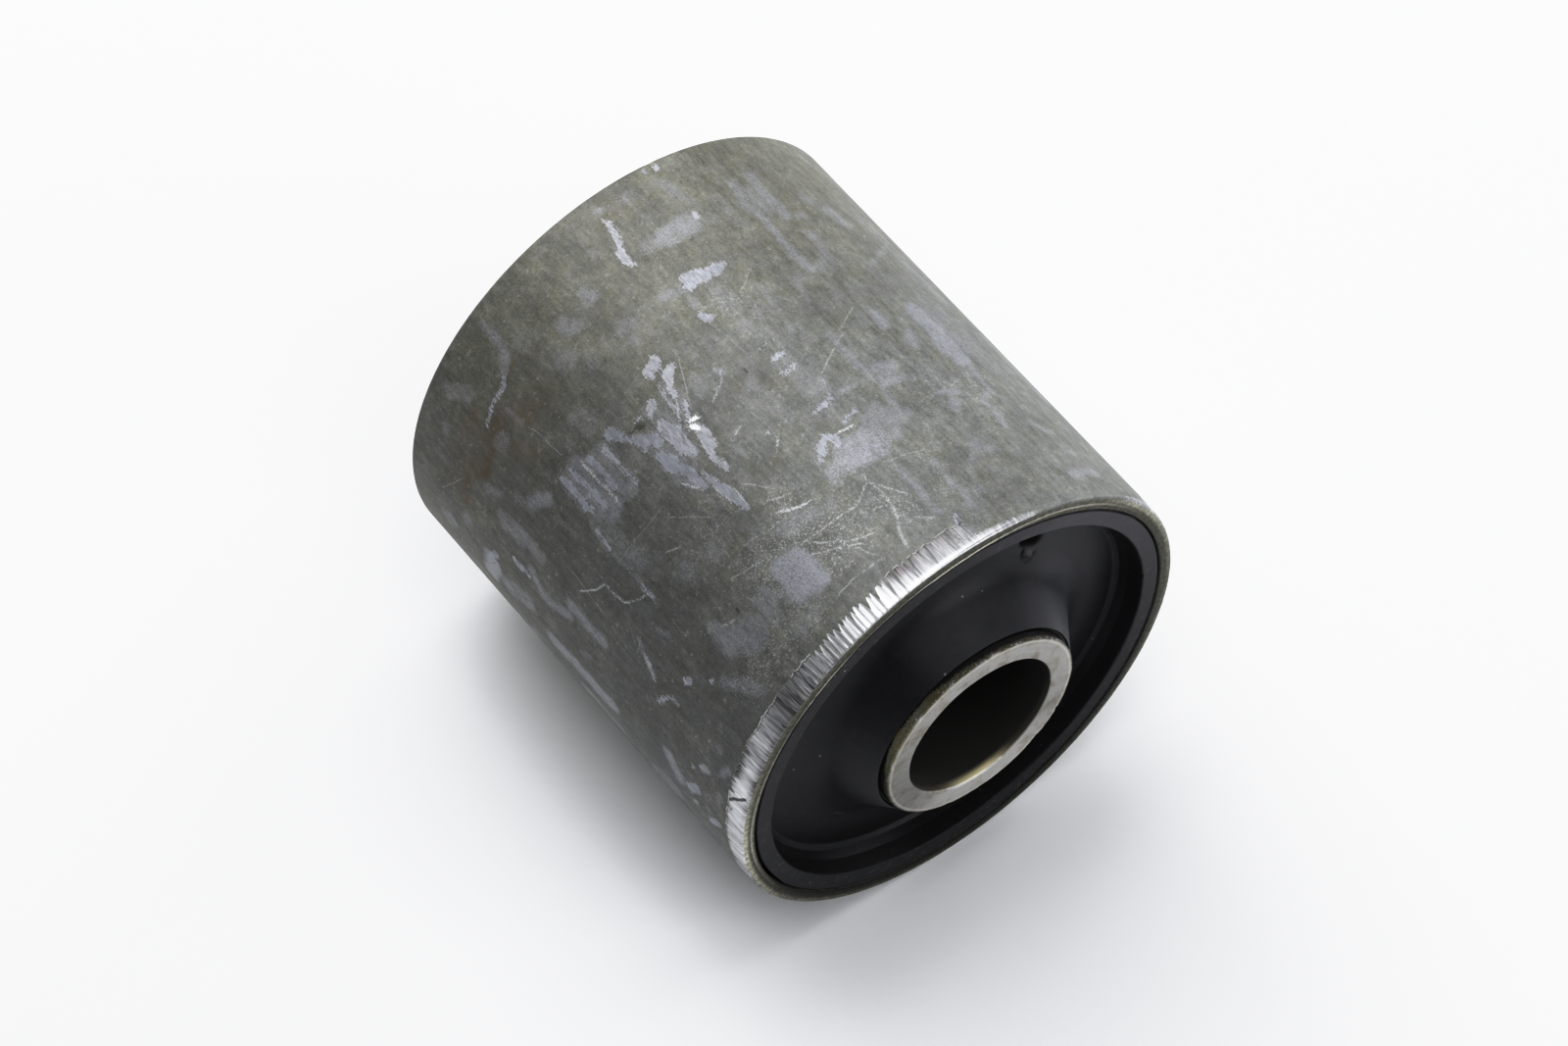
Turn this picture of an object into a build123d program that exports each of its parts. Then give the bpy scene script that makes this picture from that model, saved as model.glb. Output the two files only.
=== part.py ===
from build123d import *
import math
import os

# Rubber metal bush: a steel outer sleeve and a steel inner sleeve, joined by one moulded rubber body.
# Frame: Z is the bush's axis. It stands on the lower end face of the inner sleeve, at Z = 0, and the
# gate side of the moulding is the upper end. Millimetres throughout.

# --- inner sleeve ---
INNER_LENGTH = 58.0
INNER_OD = 21.5
BORE_D = 16.2
INNER_EDGE = 0.15  # broken outer edge of each end face
BORE_CHAMFER = 0.25

# --- outer sleeve ---
OUTER_LENGTH = 52.0
OUTER_OD = 50.0
OUTER_WALL = 1.5
LEAD_LENGTH = 2.6  # filed lead-in band at the upper end only
LEAD_DROP = 0.10  # how far the band falls below the outside diameter
OUTER_EDGE = 0.25  # rounded corner between the band and the end face
LOWER_EDGE = 0.3  # rounded corner of the plain lower end

# --- rubber body: its end profile as (radius, height above the outer sleeve's end face) ---
CONE_TOP = 2.2  # the rubber climbs this far up the inner sleeve, as a cone
CONE_TOP_R = 11.1
CONE_FOOT_R = 14.9
FLOOR_DEPTH = 3.15
FOOT_FILLET = 4.0  # concave fillet between the cone and the recess floor
FLOOR_R = 20.45
LEDGE_LOW = (20.85, -2.75)
LEDGE_HIGH = (21.2, -1.8)
LIP_R = 21.5  # inner edge of the flat lip
LIP_DEPTH = 0.05
LIP_ROUND = 0.2
CREVICE_W = 0.25  # open crevice between the lip and the sleeve
CREVICE_DEPTH = 0.55

# --- gate marks on the upper recess floor: (polar radius, angle, hole diameter, depth) ---
GATES = ((17.3, -125.0, 1.9, 0.9), (16.6, 45.0, 0.9, 0.35))

# --- what follows from them ---
OVERHANG = (INNER_LENGTH - OUTER_LENGTH) / 2
Z_LOW = OVERHANG  # outer sleeve's lower end face
Z_HIGH = OVERHANG + OUTER_LENGTH  # outer sleeve's upper end face
R_IN = INNER_OD / 2
R_OUT = OUTER_OD / 2
R_WALL = R_OUT - OUTER_WALL


def ring_face(points, rounds=()):
    """A face in the XZ plane from (radius, z) points, with some of its corners rounded."""
    corners = [Vector(r, 0, z) for r, z in points]
    section = make_face(Polyline(*corners, close=True)).face()
    for corner, radius in rounds:
        at = Vector(corner[0], 0, corner[1])
        near = sorted(section.vertices(), key=lambda v: (Vector(v) - at).length)[0]
        section = section.fillet_2d(radius, [near])
    return section


def turned(points, rounds=()):
    """A solid of revolution about Z."""
    return revolve(ring_face(points, rounds), Axis.Z, 360)


def both_ends(profile):
    """A profile given as (radius, height above the end face), placed at the upper end and mirrored at the lower."""
    upper = [(r, Z_HIGH + h) for r, h in profile]
    lower = [(r, Z_LOW - h) for r, h in reversed(profile)]
    return upper, lower


# Inner sleeve: a plain turned tube, chamfered in the bore and with its outer edges just broken.
inner_points = [
    (BORE_D / 2, BORE_CHAMFER),
    (BORE_D / 2 + BORE_CHAMFER, 0),
    (R_IN, 0),
    (R_IN, INNER_LENGTH),
    (BORE_D / 2 + BORE_CHAMFER, INNER_LENGTH),
    (BORE_D / 2, INNER_LENGTH - BORE_CHAMFER),
]
inner_sleeve = turned(
    inner_points, [((R_IN, 0), INNER_EDGE), ((R_IN, INNER_LENGTH), INNER_EDGE)]
)

# Outer sleeve: a thin tube whose upper end is filed to a shallow lead-in, with rounded outer corners.
R_END = R_OUT - LEAD_DROP
outer_points = [
    (R_WALL, Z_LOW),
    (R_OUT, Z_LOW),
    (R_OUT, Z_HIGH - LEAD_LENGTH),
    (R_END, Z_HIGH),
    (R_WALL, Z_HIGH),
]
outer_sleeve = turned(
    outer_points, [((R_OUT, Z_LOW), LOWER_EDGE), ((R_END, Z_HIGH), OUTER_EDGE)]
)

# Rubber body: bonded to both sleeves, with an annular recess, a flat lip and a cone up the inner sleeve at each end.
end_profile = [
    (R_IN, CONE_TOP),
    (CONE_TOP_R, CONE_TOP),
    (CONE_FOOT_R, -FLOOR_DEPTH),
    (FLOOR_R, -FLOOR_DEPTH),
    LEDGE_LOW,
    LEDGE_HIGH,
    (LIP_R, -LIP_DEPTH),
    (R_WALL - CREVICE_W, -LIP_DEPTH),
    (R_WALL, -CREVICE_DEPTH),
]
end_rounds = [
    ((CONE_TOP_R, CONE_TOP), 0.15),
    ((CONE_FOOT_R, -FLOOR_DEPTH), FOOT_FILLET),
    ((FLOOR_R, -FLOOR_DEPTH), 0.35),
    (LEDGE_LOW, 0.2),
    (LEDGE_HIGH, 0.3),
    ((LIP_R, -LIP_DEPTH), LIP_ROUND),
]
upper, lower = both_ends(end_profile)
rounds = [((r, Z_HIGH + h), q) for (r, h), q in end_rounds]
rounds += [((r, Z_LOW - h), q) for (r, h), q in end_rounds]
rubber_body = turned(upper + lower, rounds)
for radius, angle, width, depth in GATES:
    x = radius * math.cos(math.radians(angle))
    y = radius * math.sin(math.radians(angle))
    floor = Z_HIGH - FLOOR_DEPTH
    pit = Cone(width / 2 * 0.6, width / 2 * 1.15, depth + 0.3)
    rubber_body -= Pos(x, y, floor - depth + (depth + 0.3) / 2) * pit

os.makedirs("parts", exist_ok=True)
for name, shape in (
    ("outer_sleeve", outer_sleeve),
    ("rubber_body", rubber_body),
    ("inner_sleeve", inner_sleeve),
):
    solids = shape.solids()
    assert len(solids) == 1, (name, len(solids))
    export_step(solids[0], f"parts/{name}.step")
    print(name, round(solids[0].volume, 1), "mm3")
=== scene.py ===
import math

import bpy
import numpy as np
from mathutils import Matrix, Vector


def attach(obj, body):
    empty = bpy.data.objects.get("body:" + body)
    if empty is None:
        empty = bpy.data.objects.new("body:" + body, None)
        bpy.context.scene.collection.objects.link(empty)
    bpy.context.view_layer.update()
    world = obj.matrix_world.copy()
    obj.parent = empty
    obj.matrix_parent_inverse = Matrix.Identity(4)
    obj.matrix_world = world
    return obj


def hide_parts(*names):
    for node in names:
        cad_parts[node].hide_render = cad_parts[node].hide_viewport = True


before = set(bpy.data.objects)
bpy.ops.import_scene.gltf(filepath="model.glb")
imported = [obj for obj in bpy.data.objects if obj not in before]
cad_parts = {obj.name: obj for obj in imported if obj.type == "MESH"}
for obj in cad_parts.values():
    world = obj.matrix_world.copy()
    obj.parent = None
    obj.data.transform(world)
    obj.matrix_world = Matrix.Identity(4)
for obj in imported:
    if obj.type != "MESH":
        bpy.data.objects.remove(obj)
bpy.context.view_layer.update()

MM = 0.001
scene = bpy.context.scene

# Rubber metal bush. Its axis is Z; the upper end (z = 58 mm) is the end that the photograph shows, and the
# photograph's table is the plane y = +25 mm, on which the bush lies there. Sizes below are in millimetres.

# ------------------------------------------------------------------ camera, stage and light
CAM_AT = (169.98, -403.24, 253.85)
CAM_RIGHT = Vector((-0.7988, 0.0, 0.6017))
CAM_FORWARD = Vector((-0.3442, 0.8202, -0.4570))


def make_camera():
    data = bpy.data.cameras.new("camera")
    data.sensor_width = 36.0
    data.lens = 120.53
    data.clip_start, data.clip_end = 0.02, 20.0
    cam = bpy.data.objects.new("camera", data)
    back = (-CAM_FORWARD).normalized()
    right = (CAM_RIGHT - back * CAM_RIGHT.dot(back)).normalized()
    up = back.cross(right)
    turn = Matrix((right, up, back)).transposed()
    cam.matrix_world = Matrix.Translation(Vector(CAM_AT) * MM) @ turn.to_4x4()
    scene.collection.objects.link(cam)
    scene.camera = cam


def area_light(name, towards, distance, size, watts, colour=(1.0, 1.0, 1.0), aim=(0.0, 0.0, 29.0)):
    """A soft square light. towards is the direction from the bush to the light."""
    data = bpy.data.lights.new(name, "AREA")
    data.shape = "SQUARE"
    data.size = size * MM
    data.energy = watts
    data.color = colour
    obj = bpy.data.objects.new(name, data)
    way = Vector(towards).normalized()
    obj.location = (Vector(aim) + way * distance) * MM
    obj.rotation_mode = "QUATERNION"
    obj.rotation_quaternion = way.to_track_quat("Z", "Y")
    scene.collection.objects.link(obj)
    return obj


make_camera()

world = bpy.data.worlds.new("studio")
scene.world = world
world.use_nodes = True
tree = world.node_tree
sky = tree.nodes["Background"]
sky.inputs["Color"].default_value = (0.955, 0.965, 1.0, 1.0)
path = tree.nodes.new("ShaderNodeLightPath")
level = tree.nodes.new("ShaderNodeMapRange")
level.inputs["To Min"].default_value = 0.02
level.inputs["To Max"].default_value = 0.9
tree.links.new(path.outputs["Is Camera Ray"], level.inputs["Value"])
tree.links.new(level.outputs["Result"], sky.inputs["Strength"])

# Soft boxes around the table's normal, which is -Y: (elevation over the table, angle from +X towards +Z, watts).
# Most of the light comes from the sides of -X and -Z, which is the photograph's upper right.
for high, turn, watts in (
    (88, 0, 0.39), (65, 60, 1.19), (65, 120, 0.25), (65, 240, 0.99), (65, 300, 0.87), (40, 90, 0.47), (40, 225, 0.61),
    (40, 270, 1.67), (18, 0, 0.45), (18, 120, 1.30), (18, 180, 2.15), (18, 300, 0.66),
):
    e, a = math.radians(high), math.radians(turn)
    box = area_light(
        f"softbox_{high}_{turn}", (math.cos(e) * math.cos(a), -math.sin(e), math.cos(e) * math.sin(a)), 700, 420, watts,
        (0.985, 0.985, 1.0),
    )
    box.visible_camera = False
# One more behind the table, for the side of the bush that lies on it: the table lets its light through.
back = area_light("softbox_back", (0.0, 1.0, -0.2), 2000, 500, 13.0, (0.985, 0.985, 1.0))
back.visible_camera = back.visible_glossy = False

# The camera's contrast: a toe for the dark tones and a shoulder that holds the white table.
view = scene.view_settings
view.view_transform = "Standard"
view.use_curve_mapping = True
curves = view.curve_mapping
curves.white_level = (1.3, 1.3, 1.3)
tone = curves.curves[3]
shape = [(0.0, 0.0), (0.05, 0.0118), (0.1, 0.0358), (0.2, 0.109), (0.3, 0.209), (0.4, 0.331), (0.55, 0.55), (0.72, 0.80),
         (0.85, 0.905), (1.0, 0.955), (1.3, 1.0)]
for i, (x, y) in enumerate(shape[1:-1]):
    tone.points.new(x / 1.3, y)
curves.update()


# ------------------------------------------------------------------ node graph helper
class Val:
    """One output of a node, with arithmetic that adds Math nodes."""

    def __init__(self, graph, out):
        self.g, self.out = graph, out

    def __add__(self, o):
        return self.g.math("ADD", self, o)

    def __radd__(self, o):
        return self.g.math("ADD", o, self)

    def __sub__(self, o):
        return self.g.math("SUBTRACT", self, o)

    def __rsub__(self, o):
        return self.g.math("SUBTRACT", o, self)

    def __mul__(self, o):
        return self.g.math("MULTIPLY", self, o)

    def __rmul__(self, o):
        return self.g.math("MULTIPLY", o, self)

    def __truediv__(self, o):
        return self.g.math("DIVIDE", self, o)


class Graph:
    """A material's node tree and the few kinds of node used here."""

    def __init__(self, name):
        self.mat = bpy.data.materials.new(name)
        self.mat.use_nodes = True
        self.t = self.mat.node_tree
        self.t.nodes.clear()
        self.count = 0

    def node(self, kind, **props):
        n = self.t.nodes.new(kind)
        n.location = (180 * (self.count % 40), -220 * (self.count // 40))
        self.count += 1
        for k, v in props.items():
            setattr(n, k, v)
        return n

    def put(self, value, socket):
        if isinstance(value, Val):
            self.t.links.new(value.out, socket)
        elif value is not None:
            socket.default_value = value

    def math(self, op, a, b=None, c=None, clamp=False):
        n = self.node("ShaderNodeMath", operation=op, use_clamp=clamp)
        self.put(a, n.inputs[0])
        self.put(b, n.inputs[1])
        if c is not None:
            self.put(c, n.inputs[2])
        return Val(self, n.outputs[0])

    def vmath(self, op, a, b=None, scale=None):
        n = self.node("ShaderNodeVectorMath", operation=op)
        self.put(a, n.inputs[0])
        self.put(b, n.inputs[1])
        if scale is not None:
            self.put(scale, n.inputs["Scale"])
        return Val(self, n.outputs["Value" if op in ("LENGTH", "DOT_PRODUCT", "DISTANCE") else "Vector"])

    def xyz(self, x, y, z=0.0):
        n = self.node("ShaderNodeCombineXYZ")
        for v, s in zip((x, y, z), n.inputs):
            self.put(v, s)
        return Val(self, n.outputs[0])

    def split(self, v):
        n = self.node("ShaderNodeSeparateXYZ")
        self.put(v, n.inputs[0])
        return [Val(self, o) for o in n.outputs]

    def step(self, v, low, high, to_low=0.0, to_high=1.0, smooth=True):
        n = self.node(
            "ShaderNodeMapRange", clamp=True, interpolation_type="SMOOTHSTEP" if smooth else "LINEAR"
        )
        for s, x in zip(n.inputs, (v, low, high, to_low, to_high)):
            self.put(x, s)
        return Val(self, n.outputs[0])

    def place(self, v, at=(0, 0, 0), turn=(0, 0, 0), scale=(1, 1, 1), kind="POINT"):
        n = self.node("ShaderNodeMapping", vector_type=kind)
        self.put(v, n.inputs["Vector"])
        n.inputs["Location"].default_value = at
        n.inputs["Rotation"].default_value = turn
        n.inputs["Scale"].default_value = scale
        return Val(self, n.outputs[0])

    def noise(self, v, scale=1.0, detail=2.0, rough=0.5, warp=0.0, dims="3D", w=None, colour=False):
        n = self.node("ShaderNodeTexNoise", noise_dimensions=dims)
        if dims != "1D":
            self.put(v, n.inputs["Vector"])
        if w is not None:
            self.put(w, n.inputs["W"])
        n.inputs["Scale"].default_value = scale
        n.inputs["Detail"].default_value = detail
        n.inputs["Roughness"].default_value = rough
        n.inputs["Distortion"].default_value = warp
        return Val(self, n.outputs["Color" if colour else 0])

    def cells(self, v, scale=1.0, feature="F1", jitter=1.0, out="Distance"):
        n = self.node("ShaderNodeTexVoronoi", feature=feature)
        self.put(v, n.inputs["Vector"])
        n.inputs["Scale"].default_value = scale
        n.inputs["Randomness"].default_value = jitter
        return Val(self, n.outputs[out])

    def ramp(self, v, stops, interpolation="LINEAR"):
        n = self.node("ShaderNodeValToRGB")
        self.put(v, n.inputs[0])
        r = n.color_ramp
        r.interpolation = interpolation
        while len(r.elements) > 1:
            r.elements.remove(r.elements[-1])
        for i, (at, colour) in enumerate(stops):
            e = r.elements[0] if i == 0 else r.elements.new(at)
            e.position = at
            c = colour if hasattr(colour, "__len__") else (colour,) * 3
            e.color = (*c[:3], 1.0)
        return Val(self, n.outputs[0])

    def mix(self, t, a, b, blend="MIX"):
        n = self.node("ShaderNodeMix", data_type="RGBA", blend_type=blend, clamp_factor=True)
        self.put(t, n.inputs[0])
        for v, s in ((a, n.inputs[6]), (b, n.inputs[7])):
            self.put((*v, 1.0) if isinstance(v, tuple) and len(v) == 3 else v, s)
        return Val(self, n.outputs[2])

    def blend(self, t, a, b):
        """A number between a and b."""
        n = self.node("ShaderNodeMix", data_type="FLOAT", clamp_factor=True)
        self.put(t, n.inputs[0])
        self.put(a, n.inputs[2])
        self.put(b, n.inputs[3])
        return Val(self, n.outputs[0])

    def most(self, *vs):
        out = vs[0]
        for v in vs[1:]:
            out = self.math("MAXIMUM", out, v)
        return out

    def bump(self, height, strength, distance, normal=None):
        n = self.node("ShaderNodeBump")
        n.inputs["Strength"].default_value = strength
        n.inputs["Distance"].default_value = distance
        self.put(height, n.inputs["Height"])
        self.put(normal, n.inputs["Normal"])
        return Val(self, n.outputs[0])

    def coords(self):
        """Object coordinates in millimetres, and the turned part's own: polar angle in degrees, arc length on the outside, radius and height."""
        n = self.node("ShaderNodeTexCoord")
        p = self.vmath("SCALE", Val(self, n.outputs["Object"]), scale=1000.0)
        x, y, z = self.split(p)
        angle = self.math("ARCTAN2", y, x)
        r = self.vmath("LENGTH", self.xyz(x, y, 0.0))
        return p, angle * (180 / math.pi), angle * 25.0, r, z

    def finish(self, colour, rough, metal=0.0, normal=None, **constants):
        n = self.node("ShaderNodeBsdfPrincipled")
        self.put((*colour, 1.0) if isinstance(colour, tuple) else colour, n.inputs["Base Color"])
        self.put(rough, n.inputs["Roughness"])
        self.put(metal, n.inputs["Metallic"])
        self.put(normal, n.inputs["Normal"])
        for k, v in constants.items():
            n.inputs[k.replace("_", " ")].default_value = v
        out = self.node("ShaderNodeOutputMaterial")
        self.t.links.new(n.outputs[0], out.inputs["Surface"])
        return self.mat


# ------------------------------------------------------------------ the photograph's table, as a one-sided plane that ends softly
def make_stage():
    mesh = bpy.data.meshes.new("table")
    s, y = 3.0, 0.025
    mesh.from_pydata([(-s, y, -s), (s, y, -s), (s, y, s), (-s, y, s)], [], [(0, 1, 2, 3)])
    obj = bpy.data.objects.new("table", mesh)
    scene.collection.objects.link(obj)
    g = Graph("table")
    geo = g.node("ShaderNodeNewGeometry")
    white = g.node("ShaderNodeBsdfDiffuse")
    white.inputs["Color"].default_value = (0.86, 0.865, 0.875, 1.0)
    clear = g.node("ShaderNodeBsdfTransparent")
    both = g.node("ShaderNodeMixShader")
    out = g.node("ShaderNodeOutputMaterial")
    shadow = g.node("ShaderNodeLightPath")
    x, y, z = g.split(Val(g, geo.outputs["Position"]))
    away = g.math("SQRT", x * x + (z - 0.029) * (z - 0.029))
    gone = g.most(g.step(away, 0.60, 0.74), Val(g, geo.outputs["Backfacing"]), Val(g, shadow.outputs["Is Shadow Ray"]))
    g.t.links.new(gone.out, both.inputs[0])
    g.t.links.new(white.outputs[0], both.inputs[1])
    g.t.links.new(clear.outputs[0], both.inputs[2])
    g.t.links.new(both.outputs[0], out.inputs["Surface"])
    mesh.materials.append(g.mat)
    return obj


make_stage()


# ------------------------------------------------------------------ turned meshes
def rounded(points, rounds):
    """A closed (r, z) section with some corners rounded, as points with short support steps beside each corner.
    rounds maps a corner's index to (radius, arc steps)."""
    pts = [np.array(p, float) for p in points]
    out = []
    n = len(pts)
    for i, p in enumerate(pts):
        if i not in rounds:
            out.append(p)
            continue
        rad, steps = rounds[i]
        a = pts[i - 1] - p
        b = pts[(i + 1) % n] - p
        a /= np.linalg.norm(a)
        b /= np.linalg.norm(b)
        half = math.acos(max(-1.0, min(1.0, float(a @ b)))) / 2
        run = rad / math.tan(half)
        centre = p + (a + b) / np.linalg.norm(a + b) * (rad / math.sin(half))
        start, end = p + a * run - centre, p + b * run - centre
        t0, t1 = math.atan2(start[1], start[0]), math.atan2(end[1], end[0])
        d = (t1 - t0 + math.pi) % (2 * math.pi) - math.pi
        out.append(p + a * (run + rad * 0.3))
        for k in range(steps + 1):
            t = t0 + d * k / steps
            out.append(centre + rad * np.array([math.cos(t), math.sin(t)]))
        out.append(p + b * (run + rad * 0.3))
    return out


def refined(points, longest):
    """The closed section with extra points, so that no step is longer than longest(r, z) millimetres."""
    out = []
    for a, b in zip(points, points[1:] + points[:1]):
        mid = (a + b) / 2
        n = max(1, math.ceil(np.linalg.norm(b - a) / longest(*mid) - 1e-6))
        out += [a + (b - a) * k / n for k in range(n)]
    return out


def turned(name, section, count, shift=None):
    """A closed mesh turned about Z. shift(angle_deg, r, z) gives each point's new (r, z). Also returns its points' places."""
    sec = np.array(section)
    m = len(sec)
    th = np.arange(count) / count * 2 * math.pi - math.pi
    R = np.repeat(sec[None, :, 0], count, 0)
    Z = np.repeat(sec[None, :, 1], count, 0)
    T = np.repeat(th[:, None], m, 1)
    if shift is not None:
        R, Z = shift(np.degrees(T), R, Z)
    co = np.stack([R * np.cos(T), R * np.sin(T), Z], -1).reshape(-1, 3) * MM
    i, j = np.meshgrid(np.arange(count), np.arange(m), indexing="ij")
    i2, j2 = (i + 1) % count, (j + 1) % m
    faces = np.stack([i * m + j, i2 * m + j, i2 * m + j2, i * m + j2], -1).reshape(-1, 4)
    area = 0.5 * float(np.sum(sec[:, 0] * np.roll(sec[:, 1], -1) - np.roll(sec[:, 0], -1) * sec[:, 1]))
    if area < 0:
        faces = faces[:, ::-1]
    mesh = bpy.data.meshes.new(name)
    mesh.vertices.add(len(co))
    mesh.vertices.foreach_set("co", co.astype(np.float32).ravel())
    mesh.loops.add(faces.size)
    mesh.loops.foreach_set("vertex_index", faces.astype(np.int32).ravel())
    mesh.polygons.add(len(faces))
    mesh.polygons.foreach_set("loop_start", np.arange(0, faces.size, 4, dtype=np.int32))
    mesh.polygons.foreach_set("use_smooth", np.ones(len(faces), bool))
    mesh.update()
    mesh.validate()
    obj = bpy.data.objects.new(name, mesh)
    scene.collection.objects.link(obj)
    print(name, len(sec), "section points", len(faces) * 2, "triangles")
    return obj, np.degrees(T).ravel(), R.ravel(), Z.ravel()


def wave(th, seed, freqs, weights=None):
    """A smooth random function of the angle in degrees, periodic, about -1 to 1."""
    rng = np.random.default_rng(seed)
    t = np.radians(th)
    total = np.zeros_like(t)
    for k, f in enumerate(freqs):
        total += (1.0 if weights is None else weights[k]) * np.sin(f * t + rng.uniform(0, 2 * math.pi))
    return total / np.sqrt(len(freqs))


def window(th, low, high, soft):
    """1 between the two angles, falling to 0 over soft degrees outside them."""
    up = np.clip((th - low) / soft + 1, 0, 1)
    down = np.clip((high - th) / soft + 1, 0, 1)
    return (up * up * (3 - 2 * up)) * (down * down * (3 - 2 * down))


def lookup(th, table):
    """A value at each angle in degrees, on straight lines between (angle, value) pairs, all round."""
    a = np.array(table, float)
    return np.interp(th, a[:, 0], a[:, 1], period=360)


def lattice(u, v, nu, seed, nv=None):
    """Smooth random values from 0 to 1 on a grid with nu cells along u (0 to 1, periodic) and unit cells along v."""
    rng = np.random.default_rng(seed)
    nv = nv or 97
    grid = rng.random((nu, nv))
    x, y = (u % 1.0) * nu, v
    i, j = np.floor(x).astype(int), np.floor(y).astype(int)
    s, t = x - i, y - j
    s, t = s * s * (3 - 2 * s), t * t * (3 - 2 * t)
    g = lambda a, b: grid[a % nu, b % nv]
    return (g(i, j) * (1 - s) + g(i + 1, j) * s) * (1 - t) + (g(i, j + 1) * (1 - s) + g(i + 1, j + 1) * s) * t


def rough_patch(th, along, radius, pitch, seed):
    """Two octaves of random values from -1 to 1 on a turned surface; pitch is in millimetres."""
    total = 0.0
    for k, (size, weight) in enumerate(((pitch, 0.65), (pitch * 0.45, 0.35))):
        n = max(3, int(round(2 * math.pi * radius / size)))
        total = total + weight * (2 * lattice(th / 360.0, along / size, n, seed + k) - 1)
    return total


def bumped(th, table):
    """Extra value at each angle from peaks (angle, height, half width in degrees) with straight flanks."""
    out = np.zeros_like(th)
    for at, height, half in table:
        d = np.abs((th - at + 180) % 360 - 180)
        out = np.maximum(out, height * np.clip(1 - d / half, 0, 1))
    return out


def per_vertex(obj, name, values):
    a = obj.data.attributes.new(name, "FLOAT", "POINT")
    a.data.foreach_set("value", np.ascontiguousarray(values, np.float32).ravel())


# ---- marks on the outside, as values at its mesh's points. Angles in degrees, heights and widths in millimetres.
ARC = 25.0 * math.pi / 180  # millimetres of the outside per degree


def ragged(th, z, amount, seed):
    """The same places moved a little at random, so that a mark drawn with straight strokes gets an uneven outline."""
    out = []
    for k in range(2):
        wide = rough_patch(th, z, 25.0, 2.4, seed + 10 * k)
        fine = rough_patch(th, z, 25.0, 0.9, seed + 5 + 10 * k)
        out.append(amount * (0.75 * wide + 0.35 * fine))
    return th + out[0] / ARC, z + out[1]


def to_stroke(th, z, a1, z1, a2, z2):
    """Distance from each place to a stroke, and the side of the stroke that the place is on."""
    dx, dz = (a2 - a1) * ARC, z2 - z1
    px, pz = ((th - a1 + 180) % 360 - 180) * ARC, z - z1
    t = np.clip((px * dx + pz * dz) / max(dx * dx + dz * dz, 1e-9), 0, 1)
    return np.hypot(px - t * dx, pz - t * dz), np.where(px * dz - pz * dx > 0, 1.0, -1.0)


def strokes(th, z, table, soft=0.4, uneven=0.4, seed=40):
    """The strongest of many soft strokes at each place. A stroke is (width, strength, angle, height, angle, height ...)."""
    th, z = ragged(th, z, uneven, seed)
    out = np.zeros_like(th)
    for width, strength, *path in table:
        pts = list(zip(path[::2], path[1::2]))
        if len(pts) == 1:
            pts = pts * 2
        for (a1, z1), (a2, z2) in zip(pts, pts[1:]):
            d, _ = to_stroke(th, z, a1, z1, a2, z2)
            v = np.clip((width / 2 + soft - d) / (2 * soft), 0, 1)
            out = np.maximum(out, strength * v * v * (3 - 2 * v))
    return out


def to_outline(th, z, path):
    """Distance in millimetres to a closed outline (angle, height, angle, height ...), positive inside it."""
    pts = list(zip(path[::2], path[1::2]))
    least, inside = np.full_like(th, 9.0), np.zeros(len(th), bool)
    for (a1, z1), (a2, z2) in zip(pts, pts[1:] + pts[:1]):
        d, side = to_stroke(th, z, a1, z1, a2, z2)
        least = np.minimum(least, d)
        rises = (z1 <= z) & (z < z2)
        falls = (z2 <= z) & (z < z1)
        inside ^= (rises & (side < 0)) | (falls & (side > 0))
    return np.where(inside & (least < 6.0), least, -least)  # nothing is inside where the angles wrap, opposite the mark


def blots(th, z, table, outlines, uneven=0.42, calm=0.16, seed=50):
    """For marks with a clear border: the distance in millimetres to the nearest border, positive inside it, and the
    strength of the mark there. The table holds strokes; outlines holds (strength, angle, height, angle, height ...)."""
    edge = np.full_like(th, -1.5)
    top, total = np.zeros_like(th), np.full_like(th, 1e-9)
    rough_th, rough_z = ragged(th, z, uneven, seed)
    calm_th, calm_z = ragged(th, z, calm, seed + 20)
    marks = [(s[1], s[0], s[2:]) for s in table] + [(s[0], None, s[1:]) for s in outlines]
    for strength, width, path in marks:
        if width is None:
            e = to_outline(calm_th, calm_z, path)
        else:
            pts = list(zip(path[::2], path[1::2]))
            if len(pts) == 1:
                pts = pts * 2
            e = width * 0.42 - np.min([to_stroke(rough_th, rough_z, a1, z1, a2, z2)[0] for (a1, z1), (a2, z2) in zip(pts, pts[1:])], 0)
        edge = np.maximum(edge, e)
        weight = np.exp(np.clip(e / 0.15, -30, 6))
        top, total = top + weight * strength, total + weight
    return edge, top / total


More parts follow.
